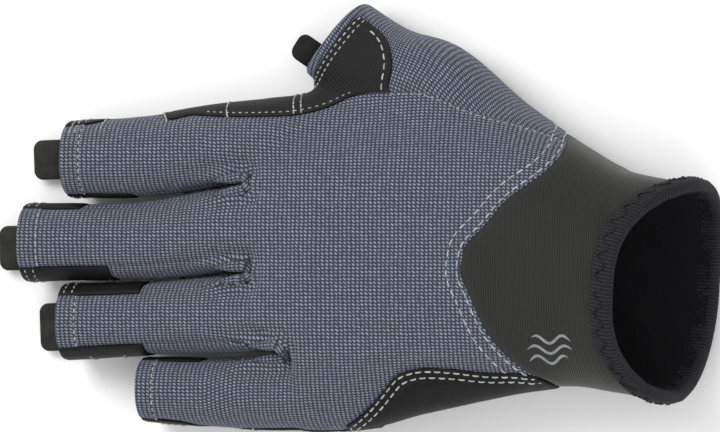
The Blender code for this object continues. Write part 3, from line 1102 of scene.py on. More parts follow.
@dataclass(frozen=True)
class Finish:
    """A cloth or thread's look: a base colour, a lighter one, and the effect that mixes them."""

    name: str
    dark: tuple[int, int, int]
    light: tuple[int, int, int]
    effect: str = "grain"
    scale: float = 1.0
    turn: float = 0.0
    bump: float = 0.1
    roughness: float = 0.8
    mid: tuple[int, int, int] = (70, 75, 88)
    sheen: float = 0.0

    def material(self) -> bpy.types.Material:
        """The material, made once."""
        if self.name in bpy.data.materials:
            return bpy.data.materials[self.name]
        material = bpy.data.materials.new(self.name)
        material.use_nodes = True
        graph = Graph(material.node_tree)
        cloth = graph.node("UVMap", uv_map="cloth").outputs[0]
        cloth = graph.node("VectorMath", operation="SCALE", in_0=cloth, in_3=100.0).outputs[0]
        shader = graph.node("BsdfPrincipled")
        bump = graph.node("Bump", in_0=1.0, in_1=self.bump * MM)
        if self.effect == "weave":
            group = graph.node("Group", node_tree=WEAVE.tree())
            graph.feed(group.inputs["Cloth"], cloth)
            for key, value in (
                ("Pitch across", 1.43),
                ("Pitch up", 1.09),
                ("Dark", colour(*self.dark)),
                ("Mid", colour(*self.mid)),
                ("Light", colour(*self.light)),
            ):
                graph.feed(group.inputs[key], value)
            # the weave colour holds its painted highlight on the oval tops and its painted shade in the gaps
            tint = group.outputs["Color"]
        elif self.effect == "ribs":
            group = graph.node("Group", node_tree=RIBS.tree())
            for key, value in (("Cloth", cloth), ("Pitch", self.scale), ("Turn", self.turn)):
                graph.feed(group.inputs[key], value)
            # the rib tint paints the crests lighter and the troughs darker as shade
            tint = graph.mix(group.outputs["Rib"], colour(*self.dark), colour(*self.light))
        else:
            group = graph.node("Group", node_tree=GRAIN.tree())
            graph.feed(group.inputs["Place"], cloth)
            graph.feed(group.inputs["Scale"], self.scale)
            tint = graph.mix(group.outputs["Wear"], colour(*self.dark), colour(*self.light))
        graph.feed(bump.inputs["Height"], group.outputs["Height"])
        graph.feed(shader.inputs["Base Color"], tint)
        graph.feed(shader.inputs["Normal"], bump.outputs[0])
        shader.inputs["Roughness"].default_value = self.roughness
        shader.inputs["Specular IOR Level"].default_value = 0.2
        shader.inputs["Sheen Weight"].default_value = self.sheen
        graph.feed(graph.node("OutputMaterial").inputs[0], shader.outputs[0])
        return material


# the blue knit's dark colour is also its painted shade in the gaps, and its light colour is also a painted
# highlight on the oval tops, besides the yarn's own tone
BLUE = Finish("woven_blue", (32, 35, 44), (136, 142, 159), "weave", bump=0.30, roughness=0.8, sheen=0.1)
TWILL = Finish(
    "ribbed_leather", (11, 11, 11), (27, 27, 26), "ribs", scale=0.85, turn=0.75, bump=0.12, roughness=0.62
)
LEATHER = Finish("black_leather", (13, 13, 13), (21, 21, 20), scale=1.7, bump=0.10, roughness=0.62)
PALM_LEATHER = Finish("palm_leather", (13, 13, 14), (20, 20, 19), scale=2.2, bump=0.10, roughness=0.75)
NEOPRENE = Finish(
    "wrist_neoprene", (24, 24, 22), (38, 38, 35), "ribs", scale=0.8, bump=0.10, roughness=0.85, sheen=0.2
)
LINING = Finish(
    "dark_lining", (12, 12, 15), (19, 19, 22), "ribs", scale=0.9, turn=1.2, bump=0.08, roughness=0.9
)
ELASTIC = Finish("edge_elastic", (20, 20, 23), (40, 39, 43), "ribs", scale=1.1, bump=0.30, roughness=0.7)
PALE_THREAD = Finish("pale_thread", (142, 143, 144), (178, 179, 180), scale=3.0, bump=0.05, roughness=0.6)
BLACK_THREAD = Finish("black_thread", (16, 16, 18), (30, 30, 32), scale=3.0, bump=0.05, roughness=0.55)
TAB = Finish("tab_cloth", (30, 30, 29), (42, 42, 40), scale=2.5, bump=0.08, roughness=0.6)
THUMB_TAB = Finish("thumb_tab_cloth", (12, 10, 10), (20, 17, 17), scale=2.5, bump=0.08, roughness=0.6)
PRINT = Finish("pale_print", (120, 122, 124), (140, 142, 144), scale=2.0, bump=0.03, roughness=0.6)


@dataclass(frozen=True)
class Zone:
    """A stretch of cloth across one joint: the two bodies and where the bend starts and ends."""

    name: str
    still: str
    moving: str
    start: tuple[float, float, float]
    end: tuple[float, float, float]

    def place(self, obj: bpy.types.Object) -> None:
        """Bakes the piece's transform into its mesh."""
        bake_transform(obj)


ZONES = {
    "hand": Zone("hand", "hand", "knuckles", (-14, 0, 14), (-38, 0, 14)),
    "heel": Zone("heel", "hand", "cuff", (48, 0, 22), (74, 0, 22)),
    "index": Zone("index", "knuckles", "index", (-52, 0, 11), (-84, 0, 11)),
    "middle": Zone("middle", "knuckles", "middle", (-54, 0, 11), (-86, 0, 11)),
    "ring": Zone("ring", "knuckles", "ring", (-52, 0, 11), (-84, 0, 11)),
    "little": Zone("little", "knuckles", "little", (-42, 0, 11), (-70, 0, 11)),
    "thumb": Zone("thumb", "hand", "thumb", (1.5, 51.1, 12), (5.2, 69.7, 12)),
}
ZONE_NAMES = list(ZONES)


def zones_of(pattern: Pattern, points: Array, thumb: Array) -> Array:
    """Sorts points into zones.

    Args:
        pattern: the pattern, which knows the fingers.
        points: rows of x, y and z.
        thumb: true for each point beyond the seam at the thumb's root.

    Returns:
        Each point's zone, as its place in the list of zones.
    """
    found = pattern.form.reaches(points)
    finger = np.stack([found[digit] for digit in FINGERS]).argmin(axis=0)
    fronts = np.where(finger == 3, -36.0, -41.0)
    zone = np.where(points[:, 0] < fronts, finger + 2, np.where(points[:, 0] > 20, 1, 0))
    return np.where(thumb, ZONE_NAMES.index("thumb"), zone)


def mesh_piece(
    name: str,
    points: Array,
    faces: Sequence[Sequence[int]] | Array,
    finish: Finish,
    uv: Array | None = None,
    normals: Array | None = None,
) -> bpy.types.Object:
    """Makes a mesh object from millimetres.

    Args:
        name: the piece's name.
        points: rows of x, y and z.
        faces: rows of point numbers, all as long as each other.
        finish: the look.
        uv: the cloth's own coordinates of each point, in millimetres.
        normals: the direction out at each point; faces are shaded smooth without it.

    Returns:
        The object.
    """
    mesh = bpy.data.meshes.new(name)
    faces = np.asarray(faces)
    count, size = faces.shape
    mesh.vertices.add(len(points))
    mesh.vertices.foreach_set("co", (np.asarray(points) * MM).astype(np.float32).ravel())
    mesh.loops.add(count * size)
    mesh.loops.foreach_set("vertex_index", faces.astype(np.int32).ravel())
    mesh.polygons.add(count)
    mesh.polygons.foreach_set("loop_start", np.arange(count, dtype=np.int32) * size)
    mesh.polygons.foreach_set("use_smooth", np.ones(count, bool))
    mesh.update(calc_edges=True)
    layer = mesh.uv_layers.new(name="cloth")
    uv = points[:, :2] if uv is None else uv
    layer.data.foreach_set("uv", (uv[faces.ravel()] / 100).astype(np.float32).ravel())
    mesh.materials.append(finish.material())
    if normals is not None:
        mesh.normals_split_custom_set_from_vertices(normals.astype(np.float32))
    obj = bpy.data.objects.new(name, mesh)
    bpy.context.scene.collection.objects.link(obj)
    return obj


def shell(points: Array, faces: Array, normals: Array, thickness: Array) -> tuple[Array, Array, Array, Array]:
    """Gives a layer of cloth its thickness.

    Args:
        points: the outer face's points.
        faces: its triangles.
        normals: the direction out at each point.
        thickness: the cloth's thickness at each point.

    Returns:
        The closed skin's points, triangles and normals, and the outer point that each one came from.
    """
    used, index = np.unique(faces, return_inverse=True)
    faces = index.reshape(-1, 3)
    outer, out = points[used], normals[used]
    inner = outer - out * thickness[used][:, None]
    n = len(used)
    ends = faces[:, [[0, 1], [1, 2], [2, 0]]].reshape(-1, 2)
    key = np.sort(ends, axis=1)
    key = key[:, 0] * n + key[:, 1]
    _, first, number = np.unique(key, return_index=True, return_counts=True)
    rim = ends[first[number == 1]]
    bordering = np.unique(rim)
    slot_of = np.full(n, -1)
    slot_of[bordering] = np.arange(len(bordering))
    edge = outer[rim[:, 1]] - outer[rim[:, 0]]
    outward = np.cross(edge, out[rim[:, 0]])
    total = np.zeros((n, 3))
    np.add.at(total, rim[:, 0], outward)
    np.add.at(total, rim[:, 1], outward)
    outward = unit(total[bordering])
    middle = (outer[bordering] + inner[bordering]) / 2
    a, b = rim[:, 0], rim[:, 1]
    ma, mb = slot_of[a] + 2 * n, slot_of[b] + 2 * n
    sides = [
        np.stack([b, a, ma], 1),
        np.stack([b, ma, mb], 1),
        np.stack([mb, ma, a + n], 1),
        np.stack([mb, a + n, b + n], 1),
    ]
    return (
        np.concatenate([outer, inner, middle]),
        np.concatenate([faces, faces[:, ::-1] + n, *sides]),
        np.concatenate([out, -out, outward]),
        np.concatenate([used, used, used[bordering]]),
    )


@dataclass
class GloveSkin:
    """The cut surface, its labels and the cloth's own coordinates."""

    form: GloveForm = field(default_factory=GloveForm)

    def __post_init__(self) -> None:
        """Grows the form and cuts the pattern into it."""
        self.pattern = Pattern(self.form)
        low, high = np.array([-127.0, -54.0, -1.5]), np.array([103.0, 84.0, 48.0])
        skin = Skin.grown(self.form, low, high, np.array([1.4, 0.8, 1.15]))
        skin.cut("hem", self.pattern.hems(skin.points))
        skin.keep(skin.sides.pop("hem"))
        for deep in (0.45, 1.1):
            skin.cut(f"hem_{deep}", self.pattern.hems(skin.points) - deep)
        for name in ("yoke", "back", "walls", "thumb", "thumb_back", "pads"):
            skin.cut(name, getattr(self.pattern, name)(skin.points))
        self.skin = skin
        self.out = skin.normals()
        self.hem = self.pattern.hems(skin.points)
        side = skin.sides
        self.thumb = side["thumb"] & ~side["yoke"]
        self.kind = np.select(
            [
                side["yoke"],
                self.thumb & side["thumb_back"],
                ~self.thumb & side["back"],
                ~self.thumb & side["walls"],
            ],
            [Patch.NEOPRENE.value, Patch.THUMB.value, Patch.WOVEN.value, Patch.SIDE.value],
            Patch.LEATHER.value,
        )
        self.pads = side["pads"] & (self.kind == Patch.LEATHER.value)
        self.zone = zones_of(self.pattern, skin.points[skin.faces].mean(axis=1), self.thumb)
        self.cloth = self.flatten()

    def flatten(self) -> Array:
        """The cloth's own coordinates: along the glove, and across it and down its sides."""
        points = self.skin.points
        owner = self.pattern.owner(points)
        across = points[:, 1].copy()
        ahead = points[:, 0] <= -44
        for k, digit in enumerate(Digit):
            tube = self.form.hand if digit is Digit.HAND else self.form.tubes[digit]
            place, offset, height = tube.local(points)
            _, _, _, half = tube.at(place)
            drop = np.sign(offset) * np.maximum(half - height, 0) * smoothstep(np.abs(offset), 0, 4)
            if digit is Digit.HAND:
                drop = drop * smoothstep(np.abs(offset), 24, 40)
                palm_drop = drop
                mine = (owner == k) | ~ahead
            elif digit is Digit.THUMB:
                self.thumb_cloth = np.stack([place * 1.22, offset + drop], axis=1)
                continue
            else:
                share = smoothstep(points[:, 0], -51, -64)
                drop = drop * share + palm_drop * (1 - share)
                mine = (owner == k) & ahead
            across[mine] = (points[:, 1] + drop)[mine]
        return np.stack([points[:, 0], across], axis=1)

    def border(self, chosen: Array) -> Array:
        """Points along the edge between the chosen faces and the rest of the skin.

        Args:
            chosen: true for each face of one patch.

        Returns:
            The edge's points, and the middles between them.
        """
        faces = self.skin.faces
        ends = np.sort(faces[:, [[0, 1], [1, 2], [2, 0]]], axis=2).reshape(-1, 2)
        key = ends[:, 0] * len(self.skin.points) + ends[:, 1]
        _, first, index = np.unique(key, return_index=True, return_inverse=True)
        flag = np.repeat(chosen, 3)
        inside = np.bincount(index.ravel(), flag) > 0
        outside = np.bincount(index.ravel(), ~flag) > 0
        pairs = self.skin.points[ends[first[inside & outside]]]
        return np.concatenate([pairs[:, 0], pairs[:, 1], pairs.mean(axis=1)])


def ripple(points: Array) -> Array:
    """Soft hollows and swells of worn cloth, from -1 to 1."""
    x, y, z = points.T
    waves = np.sin(x * 0.115 + y * 0.06 + 1.3) * np.sin(y * 0.19 - x * 0.04 + z * 0.11)
    return 0.6 * waves + 0.4 * np.sin(x * 0.23 + 0.7) * np.sin(y * 0.29 + z * 0.17 + 2.0)


SLITS = (
    ((-49.5, 23.7), (-82, 19.6)),
    ((-49.2, -3.0), (-82, -5.4)),
    ((-37.6, -26.6), (-74, -28.4)),
)


@dataclass
class Coat:
    """The layers of cloth made from the skin, patch by patch."""

    body: GloveSkin
    seam_depth: float = 0.5
    seam_width: float = 1.0
    leather_lift: float = 0.45
    pad_lift: float = 0.65
    moved: Array | None = None

    looks: ClassVar[dict[Patch, Finish]] = {
        Patch.WOVEN: BLUE,
        Patch.SIDE: BLUE,
        Patch.THUMB: BLUE,
        Patch.LEATHER: LEATHER,
        Patch.NEOPRENE: NEOPRENE,
    }
    layers: ClassVar[dict[Patch, float]] = {
        Patch.WOVEN: 1.3,
        Patch.SIDE: 1.2,
        Patch.THUMB: 1.3,
        Patch.LEATHER: 1.1,
        Patch.NEOPRENE: 2.2,
    }

    def lift(self, kind: Patch, chosen: Array) -> Array:
        """How far each point of a patch stands off the skin.

        Args:
            kind: the patch's cloth.
            chosen: its faces.

        Returns:
            A distance for each point of the skin.
        """
        skin = self.body.skin
        used = np.unique(skin.faces[chosen])
        edge = np.full(len(skin.points), 12.0)
        edge[used] = nearness(skin.points[used], self.body.border(chosen))
        hem = self.body.hem
        lift = 0.30 * ripple(skin.points) * smoothstep(edge, 0, 8) * smoothstep(hem, 0, 10)
        if kind is Patch.LEATHER:
            lift = lift * 0.5 + self.leather_lift - 0.25 * np.exp(-((edge / 0.5) ** 2))
            lift = lift - 0.12 * np.exp(-(((edge - 2) / 0.8) ** 2))
        elif kind is Patch.NEOPRENE:
            lift = lift * 0.5 - 0.15 - 0.5 * np.exp(-((edge / 1.0) ** 2))
        else:
            lift = lift - self.seam_depth * np.exp(-((edge / self.seam_width) ** 2))
        band = smoothstep(hem, 7.4, 6.4) * 0.35
        fold = 1.1 - np.sqrt(np.maximum(1.21 - (1.1 - np.clip(hem, 0, 1.1)) ** 2, 0))
        near_hem = np.where(hem < 1.1, fold, 0)
        dip = -0.3 * np.exp(-(((hem - 6.4) / 0.6) ** 2))
        finger = skin.points[:, 0] < -56
        lift = lift + np.where(finger & (kind is not Patch.LEATHER), band + dip, 0) - near_hem * 0.9
        if kind in (Patch.WOVEN, Patch.SIDE):
            lift = lift + self.crotch_welts(skin.points) * smoothstep(edge, 0.0, 0.6)
        if kind is Patch.THUMB:
            lift = lift + self.thumb_creases(skin.points) * smoothstep(edge, 0.5, 4)
        return lift

    @staticmethod
    def crotch_welts(points: Array) -> Array:
        """Folded lips round the inner ends of the slits between the fingers."""
        x, y, z = points.T
        total = np.zeros(len(points))
        for (end_x, end_y), (start_x, start_y) in SLITS:
            ahead = np.array([end_x - start_x, end_y - start_y])
            length = np.hypot(*ahead)
            ahead /= length
            run = np.clip((x - start_x) * ahead[0] + (y - start_y) * ahead[1], 0, length)
            off = np.hypot(x - start_x - run * ahead[0], y - start_y - run * ahead[1])
            share = smoothstep(run, length - 20, length - 8)
            lip = 1.15 * np.exp(-(((off - 3.3) / 1.3) ** 2)) - 0.55 * np.exp(-(((off - 6.4) / 1.3) ** 2))
            total += share * lip - 1.3 * np.exp(-((off / 1.4) ** 2)) * (run >= length)
        return total * smoothstep(z, 14, 20)

    @staticmethod
    def thumb_creases(points: Array) -> Array:
        """Curved ripples across the back of the thumb."""
        x, y = points[:, 0], points[:, 1]
        reach = np.hypot(x - 4, y - 42)
        share = smoothstep(y - 52 + 0.1 * x, 0, 8) * smoothstep(x, -4, 6) * smoothstep(70 - x, 0, 20)
        return 0.38 * np.sin(reach * 0.62) * share

    def build(self) -> list[bpy.types.Object]:
        """Makes every patch, zone by zone.

        Returns:
            The pieces.
        """
        skin = self.body.skin
        self.moved = skin.points.copy()
        made = []
        for kind in Patch:
            chosen = self.body.kind == kind.value
            if not chosen.any():
                continue
            used = np.unique(skin.faces[chosen])
            lift = self.lift(kind, chosen)
            points = skin.points + self.body.out * lift[:, None]
            self.moved[used] = points[used]
            normals = skin.normals(points, skin.faces[chosen])
            doubled = 0.9 * smoothstep(self.body.hem, 7.0, 6.0) * (points[:, 0] < -56)
            thick = self.layers[kind] + doubled
            for number, zone in enumerate(ZONES.values()):
                part = chosen & (self.body.zone == number)
                if kind is Patch.NEOPRENE:
                    part = chosen & (number == ZONE_NAMES.index("heel"))
                if part.sum() < 12:
                    continue
                place, faces, out, source = shell(points, skin.faces[part], normals, thick)
                name = f"{zone.name}_{kind.value}"
                cloth = self.body.thumb_cloth if kind is Patch.THUMB else self.body.cloth
                look = TWILL if kind is Patch.LEATHER and zone.name == "thumb" else self.looks[kind]
                obj = mesh_piece(name, place, faces, look, cloth[source], out)
                zone.place(obj)
                made.append(obj)
                LOG.info("%s: %d faces", name, len(faces))
        return made + self.pads()

    def pads(self) -> list[bpy.types.Object]:
        """Makes the reinforcements on the palm and under the fingers.

        Returns:
            The pieces.
        """
        skin, chosen = self.body.skin, self.body.pads
        used = np.unique(skin.faces[chosen])
        edge = np.full(len(skin.points), 12.0)
        edge[used] = nearness(skin.points[used], self.body.border(chosen))
        lift = self.pad_lift - 0.35 * np.exp(-((edge / 0.5) ** 2))
        points = self.moved + self.body.out * lift[:, None]
        normals = skin.normals(points, skin.faces[chosen])
        made = []
        for number, zone in enumerate(ZONES.values()):
            part = chosen & (self.body.zone == number)
            if part.sum() < 12:
                continue
            place, faces, out, source = shell(points, skin.faces[part], normals, lift + 0.1)
            obj = mesh_piece(f"{zone.name}_pad", place, faces, PALM_LEATHER, self.body.cloth[source], out)
            zone.place(obj)
            made.append(obj)
            LOG.info("%s_pad: %d faces", zone.name, len(faces))
        self.moved[used] = points[used]
        return made


@dataclass(frozen=True)
class Seam:
    """A row of stitches: how far apart they start, how long and how thick each one is, and its thread."""

    pitch: float = 3.1
    dash: float = 2.3
    radius: float = 0.27
    thread: Finish = PALE_THREAD


TOPSTITCH = Seam()
HEM_STITCH = Seam(2.2, 1.3, 0.24)
FINE_STITCH = Seam(2.3, 1.1, 0.17)
ZIGZAG = Seam(1.65, 1.5, 0.26, BLACK_THREAD)
TACK = Seam(1.9, 1.75, 0.26)


def stitches(starts: Array, ends: Array, out: Array, radius: float) -> tuple[Array, Array, Array]:
    """Models stitches as short lengths of thread that dive into the cloth at both ends.

    Args:
        starts: where each one starts.
        ends: where each one ends.
        out: the direction out of the cloth at each one.
        radius: the thread's radius.

    Returns:
        Points, four-sided faces and normals.
    """
    stations = (
        (0.0, 0.35, -0.9),
        (0.10, 0.85, -0.15),
        (0.32, 1.0, 0.45),
        (0.5, 1.0, 0.6),
        (0.68, 1.0, 0.45),
        (0.90, 0.85, -0.15),
        (1.0, 0.35, -0.9),
    )
    sides = 6
    ahead = unit(ends - starts)
    side = unit(np.cross(out, ahead))
    up = np.cross(ahead, side)
    turn = np.arange(sides) * math.tau / sides
    rings, normals = [], []
    for share, size, rise in stations:
        middle = starts + (ends - starts) * share + up * rise * radius
        for angle in turn:
            spoke = side * math.cos(angle) + up * math.sin(angle)
            rings.append(middle + spoke * radius * size)
            normals.append(unit(spoke + ahead * (0.9 if share == 1 else -0.9 if share == 0 else 0)))
    count = len(starts)
    points = np.stack(rings, axis=1).reshape(-1, 3)
    normals = np.stack(normals, axis=1).reshape(-1, 3)
    per = len(stations) * sides
    faces = []
    for ring in range(len(stations) - 1):
        for k in range(sides):
            a, b = ring * sides + k, ring * sides + (k + 1) % sides
            faces.append([a, b, b + sides, a + sides])
    last = (len(stations) - 1) * sides
    faces += [[0, 3, 2, 1], [0, 5, 4, 3]]
    faces += [[last, last + 1, last + 2, last + 3], [last, last + 3, last + 4, last + 5]]
    faces = np.array(faces)
    every = (faces[None] + (np.arange(count) * per)[:, None, None]).reshape(-1, 4)
    return points, every, normals


def spaced(line: Array, out: Array, seam: Seam) -> tuple[Array, Array, Array]:
    """Sets stitches along a line.

    Args:
        line: the line's points.
        out: the direction out of the cloth at each.
        seam: the stitches' spacing.

    Returns:
        The stitches' starts, ends and outward directions.
    """
    gaps = np.linalg.norm(np.diff(line, axis=0), axis=1)
    length = np.concatenate([[0], np.cumsum(gaps)])
    if length[-1] < seam.pitch:
        return np.empty((0, 3)), np.empty((0, 3)), np.empty((0, 3))
    count = max(1, round(length[-1] / seam.pitch))
    pitch = length[-1] / count
    first = np.arange(count) * pitch + (pitch - seam.dash) / 2

    def read(rows: Array, at: Array) -> Array:
        """The rows' values at lengths along the line."""
        return np.stack([np.interp(at, length, rows[:, k]) for k in range(3)], axis=1)

    return read(line, first), read(line, first + seam.dash), unit(read(out, first + seam.dash / 2))


@dataclass
class Needlework:
    """All the visible threads, gathered by zone and seam."""

    body: GloveSkin
    coat: Coat
    gathered: dict[tuple[int, Seam], list[tuple[Array, Array, Array]]] = field(default_factory=dict)

    def __post_init__(self) -> None:
        """Readies the dressed skin for finding its nearest place."""
        self.tree = BVHTree.FromPolygons(self.coat.moved.tolist(), self.body.skin.faces.tolist())

    def between(self, first: Patch, second: Patch | None, also: Array | None = None) -> Array:
        """Points along the line where two kinds of cloth meet.

        Args:
            first: one kind.
            second: the other kind, or None for any other.
            also: faces of the first kind that count, if not all.

        Returns:
            The line's points, close together.
        """
        skin = self.body.skin
        ends = np.sort(skin.faces[:, [[0, 1], [1, 2], [2, 0]]], axis=2).reshape(-1, 2)
        key = ends[:, 0] * len(skin.points) + ends[:, 1]
        _, start, index = np.unique(key, return_index=True, return_inverse=True)
        own = self.body.kind == first.value
        if also is not None:
            own &= also
        other = (self.body.kind != first.value) if second is None else (self.body.kind == second.value)
        touched = np.bincount(index.ravel(), np.repeat(own, 3)) > 0
        facing = np.bincount(index.ravel(), np.repeat(other, 3)) > 0
        pairs = self.coat.moved[ends[start[touched & facing]]]
        return np.concatenate([pairs[:, 0], pairs.mean(axis=1), pairs[:, 1]])

    def sew(self, values: Array, chosen: Array, seam: Seam, least: float = 5.0) -> None:
        """Sews along the line where the values cross 0.

        Args:
            values: a number for each point of the skin.
            chosen: true for each face that the row may cross.
            seam: the kind of row.
            least: the shortest row worth sewing.
        """
        skin = self.body.skin
        out = self.body.out
        for trace in skin.trace(values, chosen):
            line = skin.read(trace, self.coat.moved)
            length = np.linalg.norm(np.diff(line, axis=0), axis=1).sum()
            if length < least:
                continue
            for _ in range(3):
                line[1:-1] = (line[:-2] + 2 * line[1:-1] + line[2:]) / 4
            self.gather(*spaced(line, skin.read(trace, out), seam), seam)

    def gather(self, starts: Array, ends: Array, out: Array, seam: Seam) -> None:
        """Keeps stitches for their zone's mesh."""
        if not len(starts):
            return
        middle = (starts + ends) / 2
        thumb = self.body.pattern.thumb(middle) > 0
        zone = zones_of(self.body.pattern, middle, thumb)
        for number in np.unique(zone):
            mine = zone == number
            self.gathered.setdefault((int(number), seam), []).append((starts[mine], ends[mine], out[mine]))

    def tack(self, first: tuple[float, float, float], second: tuple[float, float, float]) -> None:
        """Sews a short bar between two places, on the cloth nearest to them.

        Args:
            first: one end, about.
            second: the other end, about.
        """
        count = max(2, round((Vector(second) - Vector(first)).length / 0.6))
        wanted = np.linspace(first, second, count)
        found = [self.tree.find_nearest(Vector(place)) for place in wanted]
        line = np.array([tuple(place) for place, _, _, _ in found])
        out = np.array([tuple(normal) for _, normal, _, _ in found])
        self.gather(*spaced(line, out, TACK), TACK)

    def rows(self) -> None:
        """Sews every row that follows a seam or a hem."""
        body, skin = self.body, self.body.skin
        moved = self.coat.moved
        kind = {patch: body.kind == patch.value for patch in Patch}
        woven = kind[Patch.WOVEN] | kind[Patch.THUMB]
        middle = skin.points[skin.faces].mean(axis=1)
        x, y, z = middle.T
        hem = body.hem
        yoke_line = np.concatenate(
            [self.between(Patch.NEOPRENE, Patch.WOVEN), self.between(Patch.NEOPRENE, Patch.THUMB)]
        )
        away = nearness(moved, yoke_line)
        for deep in (1.2, 4.6):
            self.sew(away - deep, woven, TOPSTITCH, 20)
        heel_line = self.between(Patch.LEATHER, Patch.WOVEN, y < -20)
        away = nearness(moved, heel_line)
        for deep in (1.0, 2.9):
            self.sew(away - deep, kind[Patch.LEATHER] & (y < -15) & (x > -22), TOPSTITCH, 20)
        side_line = self.between(Patch.LEATHER, Patch.WOVEN, (y > 38) & (z > 12))
        away = nearness(moved, side_line)
        side_strip = kind[Patch.LEATHER] & (y > 38) & (x > -62) & (z > 12) & ~body.thumb
        self.sew(away - 1.1, side_strip, FINE_STITCH, 12)
        thumb_line = self.between(Patch.LEATHER, Patch.THUMB, middle[:, 2] > 14)
        away = nearness(moved, thumb_line)
        row = np.where(hem > 6.5, away, 0.0) - 2.1
        patch = kind[Patch.LEATHER] & (x > -20) & (y > 44) & (z > 14) & (hem[skin.faces].min(axis=1) > 8.5)
        self.sew(row, patch, TOPSTITCH, 12)
        for deep in (4.4, 6.0):
            self.sew(hem - deep, kind[Patch.LEATHER] & body.thumb & (z > 10), HEM_STITCH, 8)
        seam_line = self.between(Patch.THUMB, Patch.WOVEN)
        away = nearness(moved, seam_line)
        self.sew(away - 0.7, kind[Patch.WOVEN] & (x > -2) & (x < 60), FINE_STITCH, 12)
        away = nearness(moved, body.border(body.pads))
        for deep in (1.1, 2.8):
            self.sew(away - deep, body.pads, TOPSTITCH, 12)
        fingers = (x < -56) & (hem[skin.faces].min(axis=1) < 9)
        self.sew(hem - 6.4, kind[Patch.WOVEN] & fingers & (y > -28), HEM_STITCH, 8)
        self.sew(hem - 5.6, kind[Patch.WOVEN] & fingers & (y < -28), HEM_STITCH, 8)
        for deep in (2.2, 4.8):
            self.sew(hem - deep, kind[Patch.LEATHER] & fingers & (y > -12) & (y < 22), HEM_STITCH, 5)
        for deep in (4.6, 6.8):
            self.sew(hem - deep, kind[Patch.LEATHER] & fingers & (y < -12) & (y > -28), HEM_STITCH, 5)
            self.sew(hem - deep, kind[Patch.LEATHER] & fingers & (y > 22), HEM_STITCH, 5)

    def bars(self) -> None:
        """Sews the short bars that hold the seams on the fingers' sides."""
        for first, second in (
            ((-106.2, 41.5, 14), (-106.2, 38.5, 20)),
            ((-104.6, 41.8, 13), (-104.6, 38.8, 20)),
            ((-96.6, 43.4, 12), (-96.6, 40.4, 20)),
            ((-78.5, 46.5, 14), (-75.0, 43.6, 22)),
            ((-56.5, 47.5, 14), (-54.0, 43.6, 24)),
            ((-35.0, 49.6, 12), (-32.0, 44.6, 26)),
            ((-32.6, 49.8, 12), (-29.6, 44.8, 26)),
            ((-95.5, -6.2, 9), (-95.5, -4.6, 15)),
            ((-101, -29, 9), (-101, -27.2, 16)),
            ((-92.0, -29, 9), (-90.0, -27.4, 16)),
            ((-79.5, -48.2, 7), (-79.5, -47.4, 13)),
            ((-77.6, -48.4, 7), (-77.6, -47.6, 13)),
            ((-75.7, -48.6, 7), (-75.7, -47.8, 13)),
            ((-73.0, -48.8, 7), (-73.0, -48.0, 13)),
            ((-54.0, -50.2, 7), (-54.0, -49.4, 14)),
            ((-49.6, -50.4, 7), (-49.6, -49.6, 14)),
            ((-33.0, -50.6, 7), (-33.0, -49.8, 15)),
        ):
            self.tack(first, second)

    def build(self) -> list[bpy.types.Object]:
        """Makes one mesh for each zone's threads of one kind.

        Returns:
            The pieces.
        """
        made = []
        for (number, seam), runs in self.gathered.items():
            starts, ends, out = (np.concatenate(rows) for rows in zip(*runs))
            points, faces, normals = stitches(starts, ends, out, seam.radius)
            zone = list(ZONES.values())[number]
            name = f"{zone.name}_stitches_{len(made)}"
            obj = mesh_piece(name, points, faces, seam.thread, None, normals)
            zone.place(obj)
            made.append(obj)
            LOG.info("%s: %d stitches", name, len(starts))
        return made


